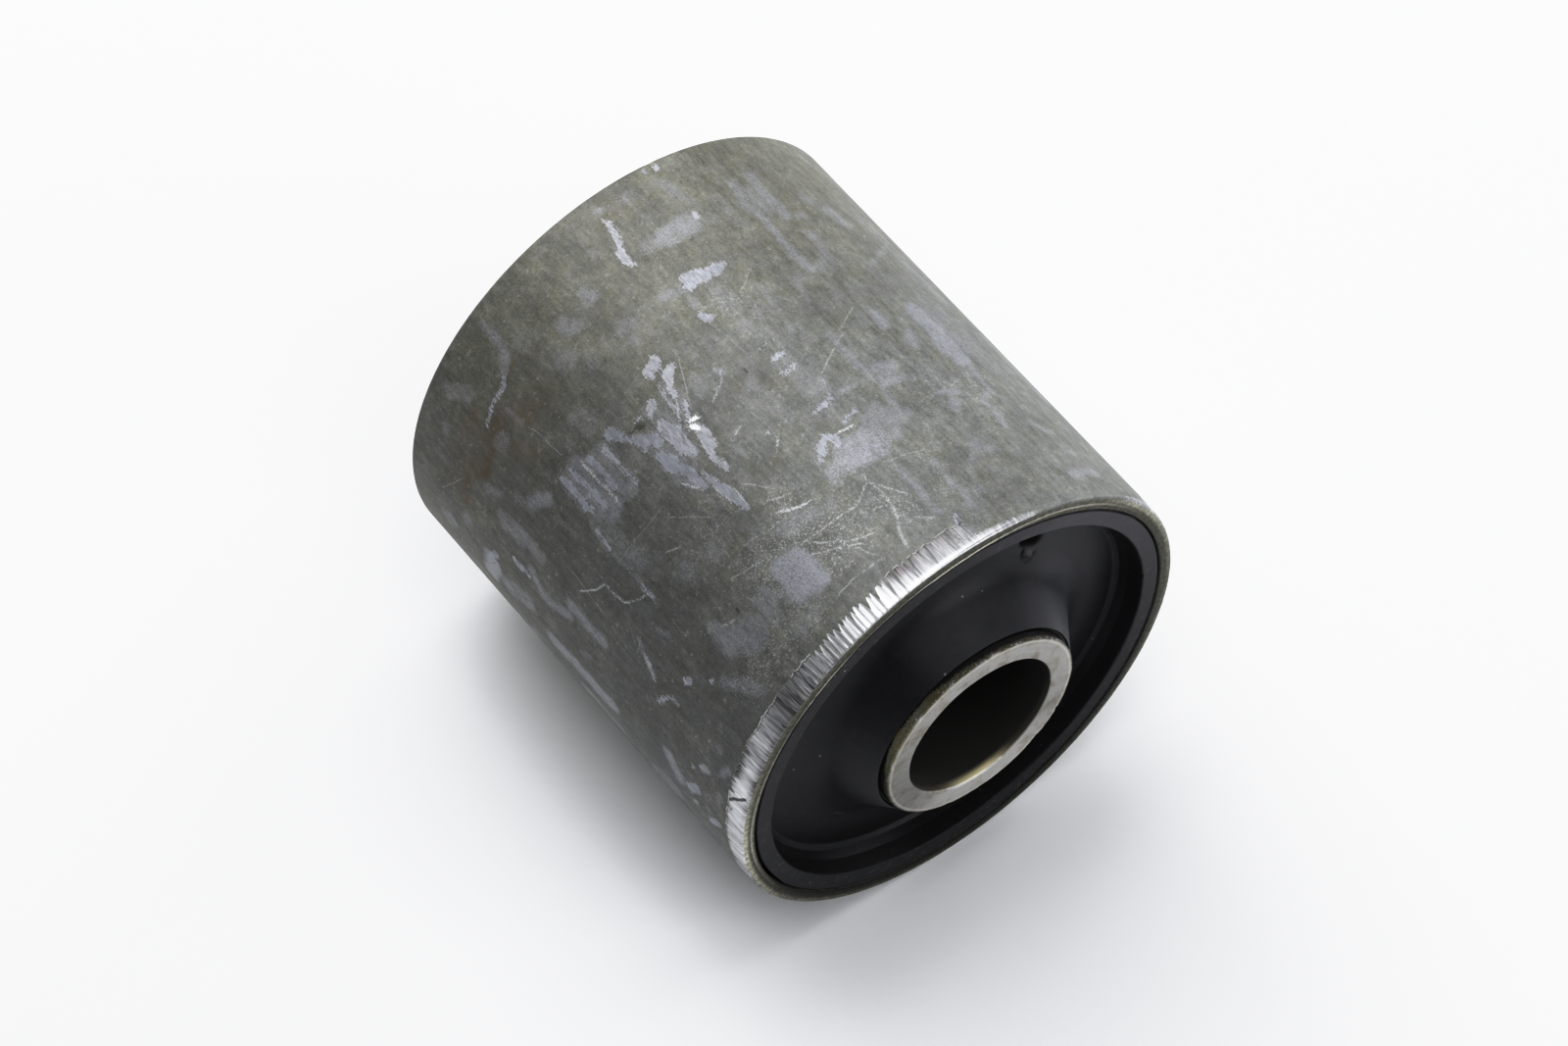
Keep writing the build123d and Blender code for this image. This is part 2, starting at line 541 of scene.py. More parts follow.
def line_layers(th, z, table, layers):
    """Thin lines. In each layer every place holds its offset from the nearest line, in half widths and with a sign, and
    that line's strength there. Lines in one layer lie well apart, so that the offset is a straight function near each."""
    th, z = ragged(th, z, 0.16, 60)
    offset = [np.full_like(th, 9.0) for _ in range(layers)]
    power = [np.zeros_like(th) for _ in range(layers)]
    nearest = [np.full_like(th, 99.0) for _ in range(layers)]
    placed = [[] for _ in range(layers)]
    dropped = 0
    for width, strength, *path in table:
        pts = list(zip(path[::2], path[1::2]))
        spots = np.concatenate([
            np.stack([np.linspace(a1, a2, 12) * ARC, np.linspace(z1, z2, 12)], -1)
            for (a1, z1), (a2, z2) in zip(pts, pts[1:])
        ])
        for k in range(layers):
            near = [np.min(np.hypot(*(spots[:, None] - other[None]).transpose(2, 0, 1))) for other in placed[k]]
            if not near or min(near) > 1.5:
                break
        else:
            dropped += 1
            continue
        placed[k].append(spots)
        for (a1, z1), (a2, z2) in zip(pts, pts[1:]):
            d, side = to_stroke(th, z, a1, z1, a2, z2)
            closer = d < nearest[k]
            nearest[k] = np.where(closer, d, nearest[k])
            offset[k] = np.where(closer, side * np.minimum(d / (width / 2), 9.0), offset[k])
            fall = np.clip(1.15 - d / 0.7, 0, 1)
            power[k] = np.where(closer, strength * fall, power[k])
    return offset, power, dropped


# Scuffs, smears and hazes on the side that the photograph shows: polar angles from -157 to +23 degrees.
SMEARS = [
    # the faint film round the large forked smear
    (2.0, 0.34, -61.6, 30.4, -61.4, 25.4), (2.2, 0.36, -57.4, 31.6, -56.6, 26.4), (1.2, 0.3, -66.0, 28.0, -67.6, 23.0),
    # the washed strokes left of it, and the long line
    (0.5, 0.75, -48.7, 28.2, -48.2, 23.1), (3.2, 0.42, -46.4, 27.4, -46.2, 23.6), (0.9, 0.6, -44.6, 26.8, -44.4, 22.8),
    (3.6, 0.46, -41.0, 27.0, -40.8, 22.6), (0.8, 0.6, -39.6, 27.0, -39.4, 21.8), (0.9, 0.62, -36.4, 26.0, -36.3, 21.4), (2.6, 0.42, -38.0, 26.4, -37.6, 22.6),
    (0.45, 0.5, -33.7, 37.0, -34.1, 33.5, -33.4, 31.2, -33.5, 28.8, -34.1, 27.3, -35.2, 26.2), (0.5, 0.62, -33.5, 29.6, -33.9, 27.6), (0.5, 0.62, -33.8, 36.3, -34.0, 34.8), (2.0, 0.3, -36.5, 33.0, -36.5, 28.0),
    # bluish haze under the filed band, left of the middle
    (2.6, 0.86, -62.6, 48.2, -62.4, 45.4), (2.6, 0.80, -59.4, 47.6, -59.4, 45.0), (1.6, 0.36, -56.2, 46.8), (2.2, 0.44, -51.8, 47.4, -52.0, 45.4),
    (3.4, 0.44, -46.0, 46.9, -41.0, 46.0), (2.2, 0.46, -44.7, 47.6, -40.6, 45.0, -39.4, 43.8), (1.4, 0.4, -37.7, 50.8, -32.4, 47.6), (0.9, 0.75, -30.2, 46.1),
    (1.2, 0.36, -59.7, 50.4, -54.4, 50.4), (0.5, 0.36, -62.0, 40.5, -57.0, 40.6), (2.4, 0.24, -52.0, 39.0), (2.6, 0.26, -43.0, 37.5),
    # left side
    (0.4, 0.55, -30.2, 39.7, -29.5, 38.1), (1.0, 0.75, -25.9, 43.9, -25.6, 43.4), (0.7, 0.6, -19.1, 43.9, -18.7, 42.7, -15.6, 41.8, -14.6, 41.4),
    (0.7, 0.8, -18.6, 40.3, -21.8, 38.4), (0.4, 0.55, -21.3, 37.7, -23.1, 36.9), (0.8, 0.5, -19.1, 50.0), (0.4, 0.5, -24.9, 49.0, -21.8, 49.2), (0.9, 0.55, -16.5, 51.7, -14.4, 51.2),
    (1.4, 0.5, -30.6, 21.2, -28.8, 20.4, -26.2, 19.8), (0.6, 0.36, -29.7, 26.0, -28.7, 23.0), (1.6, 0.4, -17.2, 23.0, -17.4, 20.6, -16.6, 16.6), (1.1, 0.36, -24.4, 20.0, -24.0, 17.6),
    (2.0, 0.34, -31.0, 13.6), (0.5, 0.5, -37.6, 14.8, -37.5, 12.3), (0.7, 0.66, -31.5, 11.0, -36.0, 10.6, -40.3, 10.7, -43.0, 10.1), (1.0, 0.56, -43.8, 9.6, -46.0, 9.0, -46.9, 7.3, -46.5, 5.0),
    (1.3, 0.4, -21.8, 7.1), (2.0, 0.34, -33.0, 7.6, -30.0, 5.6), (0.9, 0.42, -20.9, 15.8, -19.1, 14.2), (2.5, 0.34, -54.9, 14.2), (1.4, 0.52, -60.2, 12.4, -59.2, 11.2), (3.0, 0.24, -50.0, 20.2), (1.5, 0.3, -47.8, 18.8),
    (3.0, 0.22, -51.8, 9.6), (2.0, 0.3, -58.0, 16.4), (0.9, 0.72, -10.8, 49.3, -9.8, 48.8), (0.5, 0.55, -8.6, 51.4, -5.4, 51.2), (0.8, 0.6, -7.7, 47.4), (1.0, 0.72, 2.0, 51.5, 4.3, 50.4),
    (1.5, 0.68, -2.0, 48.3, 0.4, 47.2), (2.0, 0.72, 0.9, 45.5, -2.0, 44.1), (1.1, 0.6, 3.8, 47.9), (1.2, 0.36, 1.2, 50.0), (3.4, 0.38, 10.9, 43.8, 14.0, 41.6), (0.6, 0.5, -12.1, 40.2), (0.7, 0.28, -5.9, 41.0),
    (1.5, 0.58, -13.4, 33.5, -13.2, 31.0, -13.8, 28.0), (0.7, 0.36, -5.5, 31.9, -3.2, 30.4), (0.7, 0.32, -4.1, 33.5), (2.2, 0.72, 3.2, 35.2, 3.4, 31.9, 4.2, 28.0, 4.8, 25.6),
    (1.1, 0.58, -10.7, 28.0, -8.5, 25.8, -8.1, 24.2, -11.2, 22.3), (0.8, 0.62, -8.5, 22.0, -9.0, 19.8), (0.6, 0.85, -9.5, 19.8, -9.0, 19.7), (1.4, 0.42, -16.0, 20.4, -15.2, 17.0),
    (2.6, 0.5, 0.7, 22.0, 3.0, 18.8), (2.8, 0.85, 0.6, 16.2, 5.4, 15.6), (1.2, 0.62, -3.6, 16.8, 0.0, 16.2), (2.4, 0.46, 2.9, 9.2), (2.0, 0.34, -4.0, 12.3), (1.5, 0.5, 12.0, 36.0, 12.5, 30.0), (1.4, 0.5, 14.0, 22.0, 17.0, 20.0),
    # far right
    (1.2, 0.62, -126.0, 52.0, -130.0, 51.5, -133.6, 51.7), (2.0, 0.42, -132.2, 48.7), (0.8, 0.36, -124.3, 47.7), (0.8, 0.52, -133.5, 45.8, -131.0, 45.6, -128.3, 44.4),
    (0.8, 0.62, -119.9, 44.4, -120.8, 42.3, -119.9, 41.2, -124.8, 40.2), (0.9, 0.46, -125.2, 40.0, -126.0, 37.0), (1.1, 0.72, -123.4, 37.7), (0.6, 0.42, -118.0, 42.4, -114.0, 42.2),
    (0.8, 0.78, -116.8, 39.6, -111.9, 38.9), (1.0, 0.68, -118.5, 38.3), (0.8, 0.58, -111.9, 41.5, -113.3, 40.2), (0.7, 0.62, -109.3, 39.2), (0.7, 0.72, -108.9, 36.5),
    (2.8, 0.72, -125.3, 35.2, -126.0, 28.8), (3.0, 0.36, -129.2, 34.0, -129.4, 30.0), (3.6, 0.3, -134.0, 36.0, -133.6, 28.0), (0.7, 0.42, -111.5, 37.7, -111.5, 32.0), (0.9, 0.62, -115.9, 33.0, -118.1, 31.7),
    (0.8, 0.42, -112.4, 34.2), (1.2, 0.72, -114.1, 30.0, -114.6, 28.3), (0.9, 0.38, -119.0, 29.8), (0.6, 0.56, -143.2, 17.9, -138.8, 18.7, -133.5, 20.4, -124.7, 22.1), (1.8, 0.56, -130.2, 16.2, -129.0, 14.2),
    (1.8, 0.42, -125.6, 12.3), (0.9, 0.52, -119.9, 14.4, -117.7, 14.6), (1.0, 0.48, -116.3, 20.8, -116.8, 17.0), (1.1, 0.62, -109.3, 21.2, -109.3, 12.7, -110.2, 8.8), (1.4, 0.62, -114.8, 14.2, -115.5, 8.6),
    (1.1, 0.8, -115.4, 9.0), (1.2, 0.52, -111.9, 12.9, -111.9, 10.0), (1.4, 0.4, -114.0, 21.0, -111.0, 21.2), (3.0, 0.3, -141.0, 26.0, -141.0, 15.0), (2.0, 0.34, -147.0, 40.0, -147.0, 32.0),
    (0.7, 0.36, -138.0, 43.0, -130.0, 42.4), (0.6, 0.34, -117.0, 50.0, -117.6, 46.0), (1.1, 0.4, -110.4, 46.8, -108.4, 45.6), (0.6, 0.3, -106.0, 44.0, -106.2, 37.5), (0.6, 0.3, -108.0, 52.0, -107.8, 48.6),
    # the middle
    (0.8, 0.48, -97.7, 51.3, -98.1, 49.2, -97.2, 45.4), (0.6, 0.42, -101.6, 50.0, -103.4, 48.0, -107.4, 46.3, -110.0, 45.4), (1.4, 0.46, -101.3, 50.3), (0.6, 0.58, -91.0, 50.4, -91.0, 43.6),
    (0.5, 0.62, -92.8, 53.0, -92.8, 51.2), (2.6, 0.66, -91.0, 41.6, -86.0, 41.2), (2.2, 0.64, -91.0, 40.2, -85.8, 40.1), (2.2, 0.5, -85.0, 41.4, -80.4, 41.2), (1.4, 0.46, -93.4, 41.2, -93.0, 39.4),
    (0.8, 0.66, -84.4, 39.1, -84.9, 38.4, -83.8, 38.0, -81.6, 38.2, -81.2, 39.0), (0.8, 0.64, -79.7, 39.5), (0.9, 0.52, -79.2, 42.2), (0.6, 0.62, -92.4, 37.1, -89.3, 37.6), (0.8, 0.42, -91.5, 34.2, -91.9, 32.7),
    (2.4, 0.2, -89.0, 37.0, -89.0, 18.5), (0.55, 0.68, -96.8, 34.7, -94.1, 34.7), (0.5, 0.68, -90.6, 34.6, -85.7, 35.1), (0.7, 0.78, -106.9, 35.8, -103.4, 35.8, -102.9, 35.0), (0.8, 0.82, -108.2, 34.2, -103.4, 34.0),
    (1.0, 0.55, -106.0, 35.0), (0.8, 0.55, -101.2, 39.6, -101.6, 36.5, -101.2, 33.5, -100.5, 28.7), (2.2, 0.42, -100.4, 39.6, -96.0, 39.0), (1.2, 0.38, -96.4, 41.0, -97.4, 38.0), (0.3, 0.78, -90.0, 30.0, -88.2, 30.4, -86.2, 30.0, -88.2, 29.6, -90.0, 30.0),
    (0.75, 0.78, -89.3, 28.2, -86.6, 28.2), (0.5, 0.72, -94.1, 26.8, -94.1, 26.0), (0.4, 0.62, -96.4, 27.0, -96.4, 26.0), (0.35, 0.62, -90.2, 26.4, -85.7, 26.4), (0.7, 0.52, -88.8, 25.4), (0.9, 0.38, -91.9, 23.7, -92.2, 22.8),
    (1.8, 0.3, -88.4, 24.0, -88.6, 20.5), (1.1, 0.7, -83.6, 21.0, -82.5, 20.4), (1.2, 0.52, -82.8, 18.7), (1.4, 0.42, -88.8, 18.9), (1.3, 0.52, -83.5, 16.9, -79.6, 16.3),
    (2.6, 0.58, -94.0, 11.2, -89.0, 11.2), (2.0, 0.38, -88.0, 11.2, -84.0, 11.2), (0.8, 1.0, -97.0, 10.8, -97.0, 10.4), (0.5, 0.5, -97.0, 12.0, -97.0, 10.0), (1.6, 0.36, -99.4, 11.8),
    (1.2, 0.42, -98.5, 8.8, -96.3, 5.8), (0.9, 0.48, -83.5, 5.4, -80.9, 4.6), (2.0, 0.3, -88.4, 5.4), (0.9, 0.95, -97.7, 3.9), (0.8, 0.62, -94.6, 3.7),
    (1.3, 0.52, -67.7, 11.5, -67.2, 10.4), (1.4, 0.46, -62.0, 12.7, -60.6, 11.5), (2.0, 0.3, -69.0, 16.2), (1.2, 0.46, -69.0, 18.1), (1.5, 0.32, -68.5, 33.0), (0.6, 0.62, -75.2, 34.0), (1.0, 0.36, -75.2, 43.6), (2.0, 0.36, -71.0, 43.0, -65.0, 42.4),
    (0.5, 0.3, -74.4, 28.0, -75.2, 22.0, -76.9, 17.7), (0.9, 0.55, -77.5, 26.2, -76.6, 25.6), (1.6, 0.26, -81.0, 34.0, -80.6, 29.0), (1.8, 0.24, -74.0, 40.0), (1.2, 0.34, -96.0, 23.0, -96.4, 20.6), (0.9, 0.36, -103.6, 24.0, -103.8, 21.6),
    (1.4, 0.3, -104.0, 14.0, -104.0, 10.0), (1.1, 0.34, -74.0, 8.0), (1.3, 0.32, -71.0, 26.5, -72.0, 25.0), (0.9, 0.4, -79.0, 23.6),
]
OUTLINES = [  # marks with a clear border, as closed outlines
    # the large forked smear: its long limb, the limb beside it, and where that one ends
    (0.62, -62.4, 38.65, -61.2, 38.0, -60.5, 36.9, -60.1, 35.3, -59.95, 33.75, -60.3, 33.1, -60.65, 32.2, -61.2, 32.2, -61.45, 33.1, -61.75, 34.4, -62.65, 35.5, -62.9, 36.4, -63.0, 37.65, -63.25, 37.8, -62.65, 38.3),
    (0.60, -59.6, 33.9, -58.15, 34.0, -57.45, 33.1, -57.1, 31.9, -57.25, 31.25, -56.0, 30.5, -54.9, 29.8, -54.9, 28.1, -55.65, 27.65, -57.1, 28.1, -58.15, 29.05, -58.9, 30.3, -59.4, 31.25, -59.65, 32.5),
    (0.62, -59.25, 27.5, -57.1, 27.65, -56.35, 26.7, -54.2, 27.0, -53.85, 25.5, -52.05, 24.2, -49.9, 23.0, -49.55, 22.6, -51.35, 22.0, -52.8, 22.5, -53.5, 23.6, -54.4, 25.0, -55.1, 24.5, -56.7, 25.5, -58.15, 25.95, -59.05, 26.4),
    # its left limb, broken by the white nick
    (0.86, -64.6, 34.4, -63.9, 34.05, -63.25, 33.1, -63.45, 32.2, -63.8, 31.25, -64.25, 30.6, -64.25, 29.2, -66.4, 29.1, -67.3, 29.2, -66.95, 31.25, -66.2, 31.65, -65.15, 31.55, -64.8, 32.0, -65.4, 33.1, -65.25, 33.9),
    (0.90, -66.95, 27.5, -65.9, 27.6, -65.6, 27.4, -66.4, 26.5, -67.65, 25.85, -68.2, 25.95, -67.65, 26.7),
    # the wedge in the middle with its two legs
    (0.80, -62.05, 30.95, -60.85, 30.45, -59.25, 29.4, -59.3, 28.1, -59.2, 26.7, -59.95, 25.8, -60.85, 25.45, -61.75, 25.85, -62.65, 26.9, -63.35, 27.5, -64.25, 26.7, -64.8, 26.25, -66.4, 25.15, -66.75, 25.45, -65.5, 26.4, -64.25, 27.5, -63.2, 28.1, -62.65, 29.05, -62.9, 30.0, -62.6, 30.6),
    (0.70, -64.8, 26.4, -64.6, 25.6, -64.95, 23.6, -65.6, 22.65, -66.4, 22.5, -65.85, 23.45, -65.6, 25.0, -65.85, 25.3),
    # spots under its left limb and under its middle
    (0.88, -67.3, 25.15, -66.2, 25.0, -66.4, 23.9, -67.3, 23.15, -67.8, 22.35, -70.0, 22.1, -71.25, 22.35, -71.05, 22.8, -69.3, 23.45, -67.8, 24.05, -68.0, 24.7),
    (0.88, -69.1, 22.0, -66.6, 21.9, -66.05, 22.35, -65.3, 21.9, -64.8, 21.0, -66.05, 20.7, -67.3, 20.65, -68.2, 20.25, -69.6, 20.4, -69.6, 21.25),
    (0.84, -59.6, 25.2, -59.75, 24.2, -60.65, 23.85, -61.55, 23.35, -62.65, 23.2, -63.2, 24.05, -62.65, 24.4, -61.2, 24.55, -60.5, 24.9),
    (0.80, -58.7, 24.5, -57.8, 24.05, -56.0, 24.0, -57.1, 23.6, -58.15, 23.65, -58.8, 24.15),
    # the white dab far down and the hooked one beside it
    (0.77, -94.7, 16.7, -93.95, 17.1, -91.85, 17.65, -89.55, 17.5, -87.8, 17.65, -86.9, 17.3, -84.2, 17.6, -83.6, 17.0, -83.8, 15.7, -84.95, 15.4, -86.9, 15.6, -88.8, 15.85, -89.55, 16.25, -91.85, 16.15, -93.35, 16.4),
    (0.88, -80.6, 12.4, -79.6, 12.0, -77.7, 11.2, -77.5, 10.9, -77.9, 9.75, -79.05, 9.2, -79.8, 7.85, -80.4, 6.35, -80.75, 5.6, -81.5, 6.2, -81.9, 7.0, -81.5, 8.2, -80.6, 9.35, -79.6, 10.35, -79.6, 11.35),
]
LINES = [
    (0.34, 0.5, -88.8, 50.4, -86.6, 49.6, -84.9, 49.6), (0.32, 0.4, -88.4, 49.2, -87.5, 47.7), (0.34, 0.55, -88.8, 47.1, -87.1, 46.2, -85.3, 44.8), (0.5, 0.66, -80.9, 51.3, -82.0, 49.6, -83.5, 48.5, -84.4, 46.9, -84.4, 44.2, -84.0, 43.1),
    (0.28, 0.55, -83.4, 46.9, -79.6, 46.3, -78.3, 46.0), (0.3, 0.54, -83.1, 44.0, -79.1, 45.2, -74.7, 44.9, -70.3, 44.9, -65.9, 44.6), (0.34, 0.62, -77.4, 48.2, -74.7, 47.9, -72.1, 47.1, -69.4, 46.2, -68.1, 45.6),
    (0.28, 0.7, -74.3, 48.4, -72.5, 47.8, -70.6, 47.2), (0.3, 0.54, -69.9, 47.1, -67.7, 46.7, -65.9, 46.2), (0.28, 0.5, -74.7, 50.8, -67.7, 50.6, -64.1, 50.7), (0.28, 0.42, -74.9, 50.2, -73.4, 48.7),
    (0.48, 1.15, -71.6, 41.9, -69.4, 41.5, -66.8, 40.8), (0.34, 0.5, -69.0, 39.8, -66.8, 39.2), (0.4, 1.1, -89.3, 38.35, -86.9, 38.2), (0.24, 0.5, -103.4, 29.2, -96.8, 31.0, -92.8, 32.1, -91.9, 33.0), (0.3, 0.45, -77.4, 25.8, -76.0, 26.9, -72.0, 28.0),
    (0.36, 0.85, -76.4, 35.1, -75.2, 35.7), (0.34, 0.75, -72.1, 31.7, -71.0, 32.0), (0.42, 1.1, -57.1, 33.0, -56.0, 31.95), (0.34, 0.85, -31.9, 35.4, -29.7, 34.8, -27.1, 33.8, -26.5, 32.3, -26.2, 31.0, -23.5, 30.4, -21.3, 29.4, -19.6, 28.7),
    (1.6, 1.9, -65.6, 28.85, -65.1, 28.45), (0.8, 1.7, -66.8, 28.0, -66.0, 27.85), (0.55, 0.85, -42.65, 27.7, -42.6, 25.6, -42.4, 22.3),
    (0.22, 0.5, -62.85, 38.0, -62.85, 35.9), (0.24, 0.6, -60.45, 36.6, -60.15, 35.2, -60.05, 33.6), (0.3, 0.65, -46.0, 35.6, -43.8, 35.1), (0.3, 0.6, -44.2, 44.6, -42.6, 44.4, -41.8, 44.0), (0.26, 0.45, -68.0, 38.0, -65.0, 36.2), (0.22, 0.4, -98.0, 44.0, -90.0, 43.2), (0.2, 0.4, -73.0, 22.0, -68.0, 26.5), (0.24, 0.4, -110.0, 27.0, -104.0, 28.6),
    (0.22, 0.4, -57.0, 43.0, -50.0, 41.8), (0.22, 0.36, -55.0, 36.0, -49.0, 33.0), (0.22, 0.4, -40.0, 20.0, -39.0, 15.6), (0.2, 0.4, -55.0, 29.9, -54.9, 28.3), (0.2, 0.4, -67.0, 31.2, -67.25, 29.5),
]
RUSTY = [
    (1.0, 0.8, -35.0, 11.9, -29.7, 12.9, -23.5, 13.2, -15.6, 11.9, -9.0, 11.6), (3.2, 0.42, -36.0, 12.2, -24.0, 12.4), (2.8, 0.34, -23.0, 12.0, -10.0, 11.4), (2.6, 0.45, -42.0, 14.6, -38.5, 13.6),
    (0.7, 0.8, -44.9, 10.1, -42.0, 10.5), (2.2, 0.42, -30.0, 9.4, -24.0, 9.0), (2.0, 0.38, -20.0, 9.6, -12.0, 8.8), (2.4, 0.3, -36.0, 17.4, -33.0, 15.6), (3.0, 0.22, -44.0, 17.0, -50.0, 12.0),
    (0.7, 0.8, -72.5, 36.5), (0.5, 0.75, -65.5, 47.8), (0.9, 0.5, -131.5, 44.8, -129.0, 44.0), (0.4, 0.6, -30.6, 42.6), (0.3, 0.7, -60.6, 32.4), (1.2, 0.3, -84.0, 6.0, -77.0, 6.6), (0.5, 0.5, -39.0, 49.0),
    (1.6, 0.22, -58.0, 40.0, -54.0, 34.0), (1.8, 0.2, -70.0, 19.0, -66.0, 14.0), (2.0, 0.22, -84.0, 30.0, -78.0, 28.0),
]
DARKS = [
    (0.3, 0.8, -81.2, 27.8, -81.1, 27.4), (0.22, 0.9, -57.2, 19.3, -55.2, 19.3), (0.18, 0.8, -47.9, 41.8, -46.3, 41.9), (0.4, 0.7, -46.2, 44.5, -46.2, 44.1), (0.9, 0.52, -57.7, 24.9, -56.7, 24.5), (0.6, 0.52, -55.4, 24.4, -53.3, 24.1), (0.4, 0.46, -53.0, 24.0, -52.2, 23.6),
    (0.3, 0.6, -39.9, 22.0, -39.2, 21.9), (0.5, 0.45, -61.3, 29.3, -62.9, 28.2, -64.3, 27.3), (0.3, 0.75, -67.75, 29.0), (0.3, 0.65, -67.9, 28.0),
    (0.3, 0.42, -61.9, 28.2, -61.6, 27.2),
]
GRIT = [  # places strewn with fine bright points
    (8.0, 1.0, -69.0, 46.0, -60.0, 44.0), (4.5, 0.7, -58.0, 49.5, -36.0, 49.6), (3.0, 0.7, -72.0, 41.0, -66.0, 39.5), (4.0, 0.6, -86.0, 48.0, -76.0, 44.0),
    (3.4, 0.7, -91.0, 41.2, -82.0, 41.6), (3.0, 0.5, -92.0, 22.0, -84.0, 20.0), (4.0, 0.5, -60.0, 36.0, -48.0, 38.0), (3.0, 0.45, -96.0, 48.0, -98.0, 44.0), (4.0, 0.4, -112.0, 40.0, -106.0, 37.0),
    (2.2, 0.9, -110.0, 39.2, -124.0, 38.2), (2.5, 0.7, -119.0, 44.0, -121.0, 40.0),
]
DIM = [  # broad places where the steel is darker
    (7.0, 0.6, -27.0, 50.0, -30.0, 34.0), (6.0, 0.7, -24.0, 27.0, -27.0, 14.0), (5.0, 0.5, -40.0, 33.0, -42.0, 31.0), (4.0, 0.45, -50.0, 33.0), (5.0, 0.5, -56.0, 20.0, -50.0, 16.0), (3.5, 0.5, -73.5, 25.0, -70.0, 30.0),
    (4.0, 0.4, -82.0, 33.0, -82.0, 24.0), (4.0, 0.4, -73.0, 8.0, -70.0, 14.0), (5.0, 0.5, -8.0, 46.0, -10.0, 37.0), (5.0, 0.45, -2.0, 36.0, -4.0, 26.0), (4.0, 0.4, -104.0, 26.0, -104.0, 18.0), (3.0, 0.4, -112.0, 52.0, -104.0, 51.6),
]


def beyond(seed, count, widths, strengths, longest, alongs):
    """Plain strokes of the same kinds for the side away from the photograph, at random places there."""
    rng = np.random.default_rng(seed)
    out = []
    for _ in range(count):
        a, z = rng.uniform(28, 198), rng.uniform(5, 51)
        way = rng.choice(alongs) + rng.normal(0, 12)
        run = rng.uniform(0.1, 1.0) ** 2 * longest
        dx, dz = run * math.cos(math.radians(way)) / ARC, run * math.sin(math.radians(way))
        bend = rng.normal(0, 0.12) * run
        out.append((
            rng.uniform(*widths), rng.uniform(*strengths), a, float(np.clip(z, 4, 52)),
            a + dx / 2 + bend / ARC, float(np.clip(z + dz / 2, 4, 52)), a + dx, float(np.clip(z + dz, 4, 52)),
        ))
    return out


ALL_SMEARS = SMEARS + beyond(71, 70, (0.5, 1.5), (0.3, 0.8), 8.0, (0, 90, 90, 70)) + beyond(72, 26, (2.0, 4.2), (0.22, 0.42), 9.0, (90, 90, 0)) \
    + beyond(73, 12, (0.8, 1.8), (0.8, 0.95), 3.5, (0, 90, 60))
is_clear = [s[1] >= 0.6 and s[0] <= 1.7 and not -140 < s[2] < -108 and not (s[2] < -94 and s[3] > 22) for s in ALL_SMEARS]
CLEAR = [s for s, c in zip(ALL_SMEARS, is_clear) if c]
HAZY = [s for s, c in zip(ALL_SMEARS, is_clear) if not c]
ALL_LINES = LINES + beyond(74, 34, (0.24, 0.42), (0.45, 1.0), 6.0, (0, 90, 45, 130))
ALL_RUSTY = RUSTY + beyond(75, 7, (0.6, 1.8), (0.4, 0.75), 5.0, (0, 90))
ALL_DARKS = DARKS + beyond(76, 7, (0.3, 0.6), (0.7, 1.0), 1.2, (0, 90))
ALL_GRIT = GRIT + beyond(79, 8, (3.0, 7.0), (0.4, 0.9), 6.0, (0, 90))
ALL_DIM = DIM + beyond(77, 12, (3.0, 6.0), (0.35, 0.6), 9.0, (90, 0))


def hairlines(seed, count):
    """Faint hair-thin scratches all round, mostly along the axis or across it."""
    rng = np.random.default_rng(seed)
    out = []
    for _ in range(count):
        a, z = rng.uniform(-165, 195), rng.uniform(4.5, 51.5)
        way = rng.choice((90, 90, 90, 0, 60, 125, 35)) + rng.normal(0, 9)
        run = rng.uniform(1.2, 7.0)
        dx, dz = run * math.cos(math.radians(way)) / ARC, run * math.sin(math.radians(way))
        out.append((rng.uniform(0.12, 0.17), rng.uniform(0.15, 0.42), a, z, a + dx, float(np.clip(z + dz, 4, 52))))
    return out


ALL_LINES = ALL_LINES + hairlines(78, 90)

PAINTED_SIDE_SHADE = [  # painted shade: the steel darker on the side away from the lamps and lighter towards them, as a factor on its colour
    (-150, 1.0), (-120, 1.0), (-108, 0.99), (-98, 0.97), (-85, 0.885), (-70, 0.88), (-50, 0.87), (-42, 0.77), (-30, 0.71), (-10, 0.675), (0, 0.69), (10, 0.72),
    (25, 0.73), (60, 0.82), (120, 0.86), (160, 0.91),
]


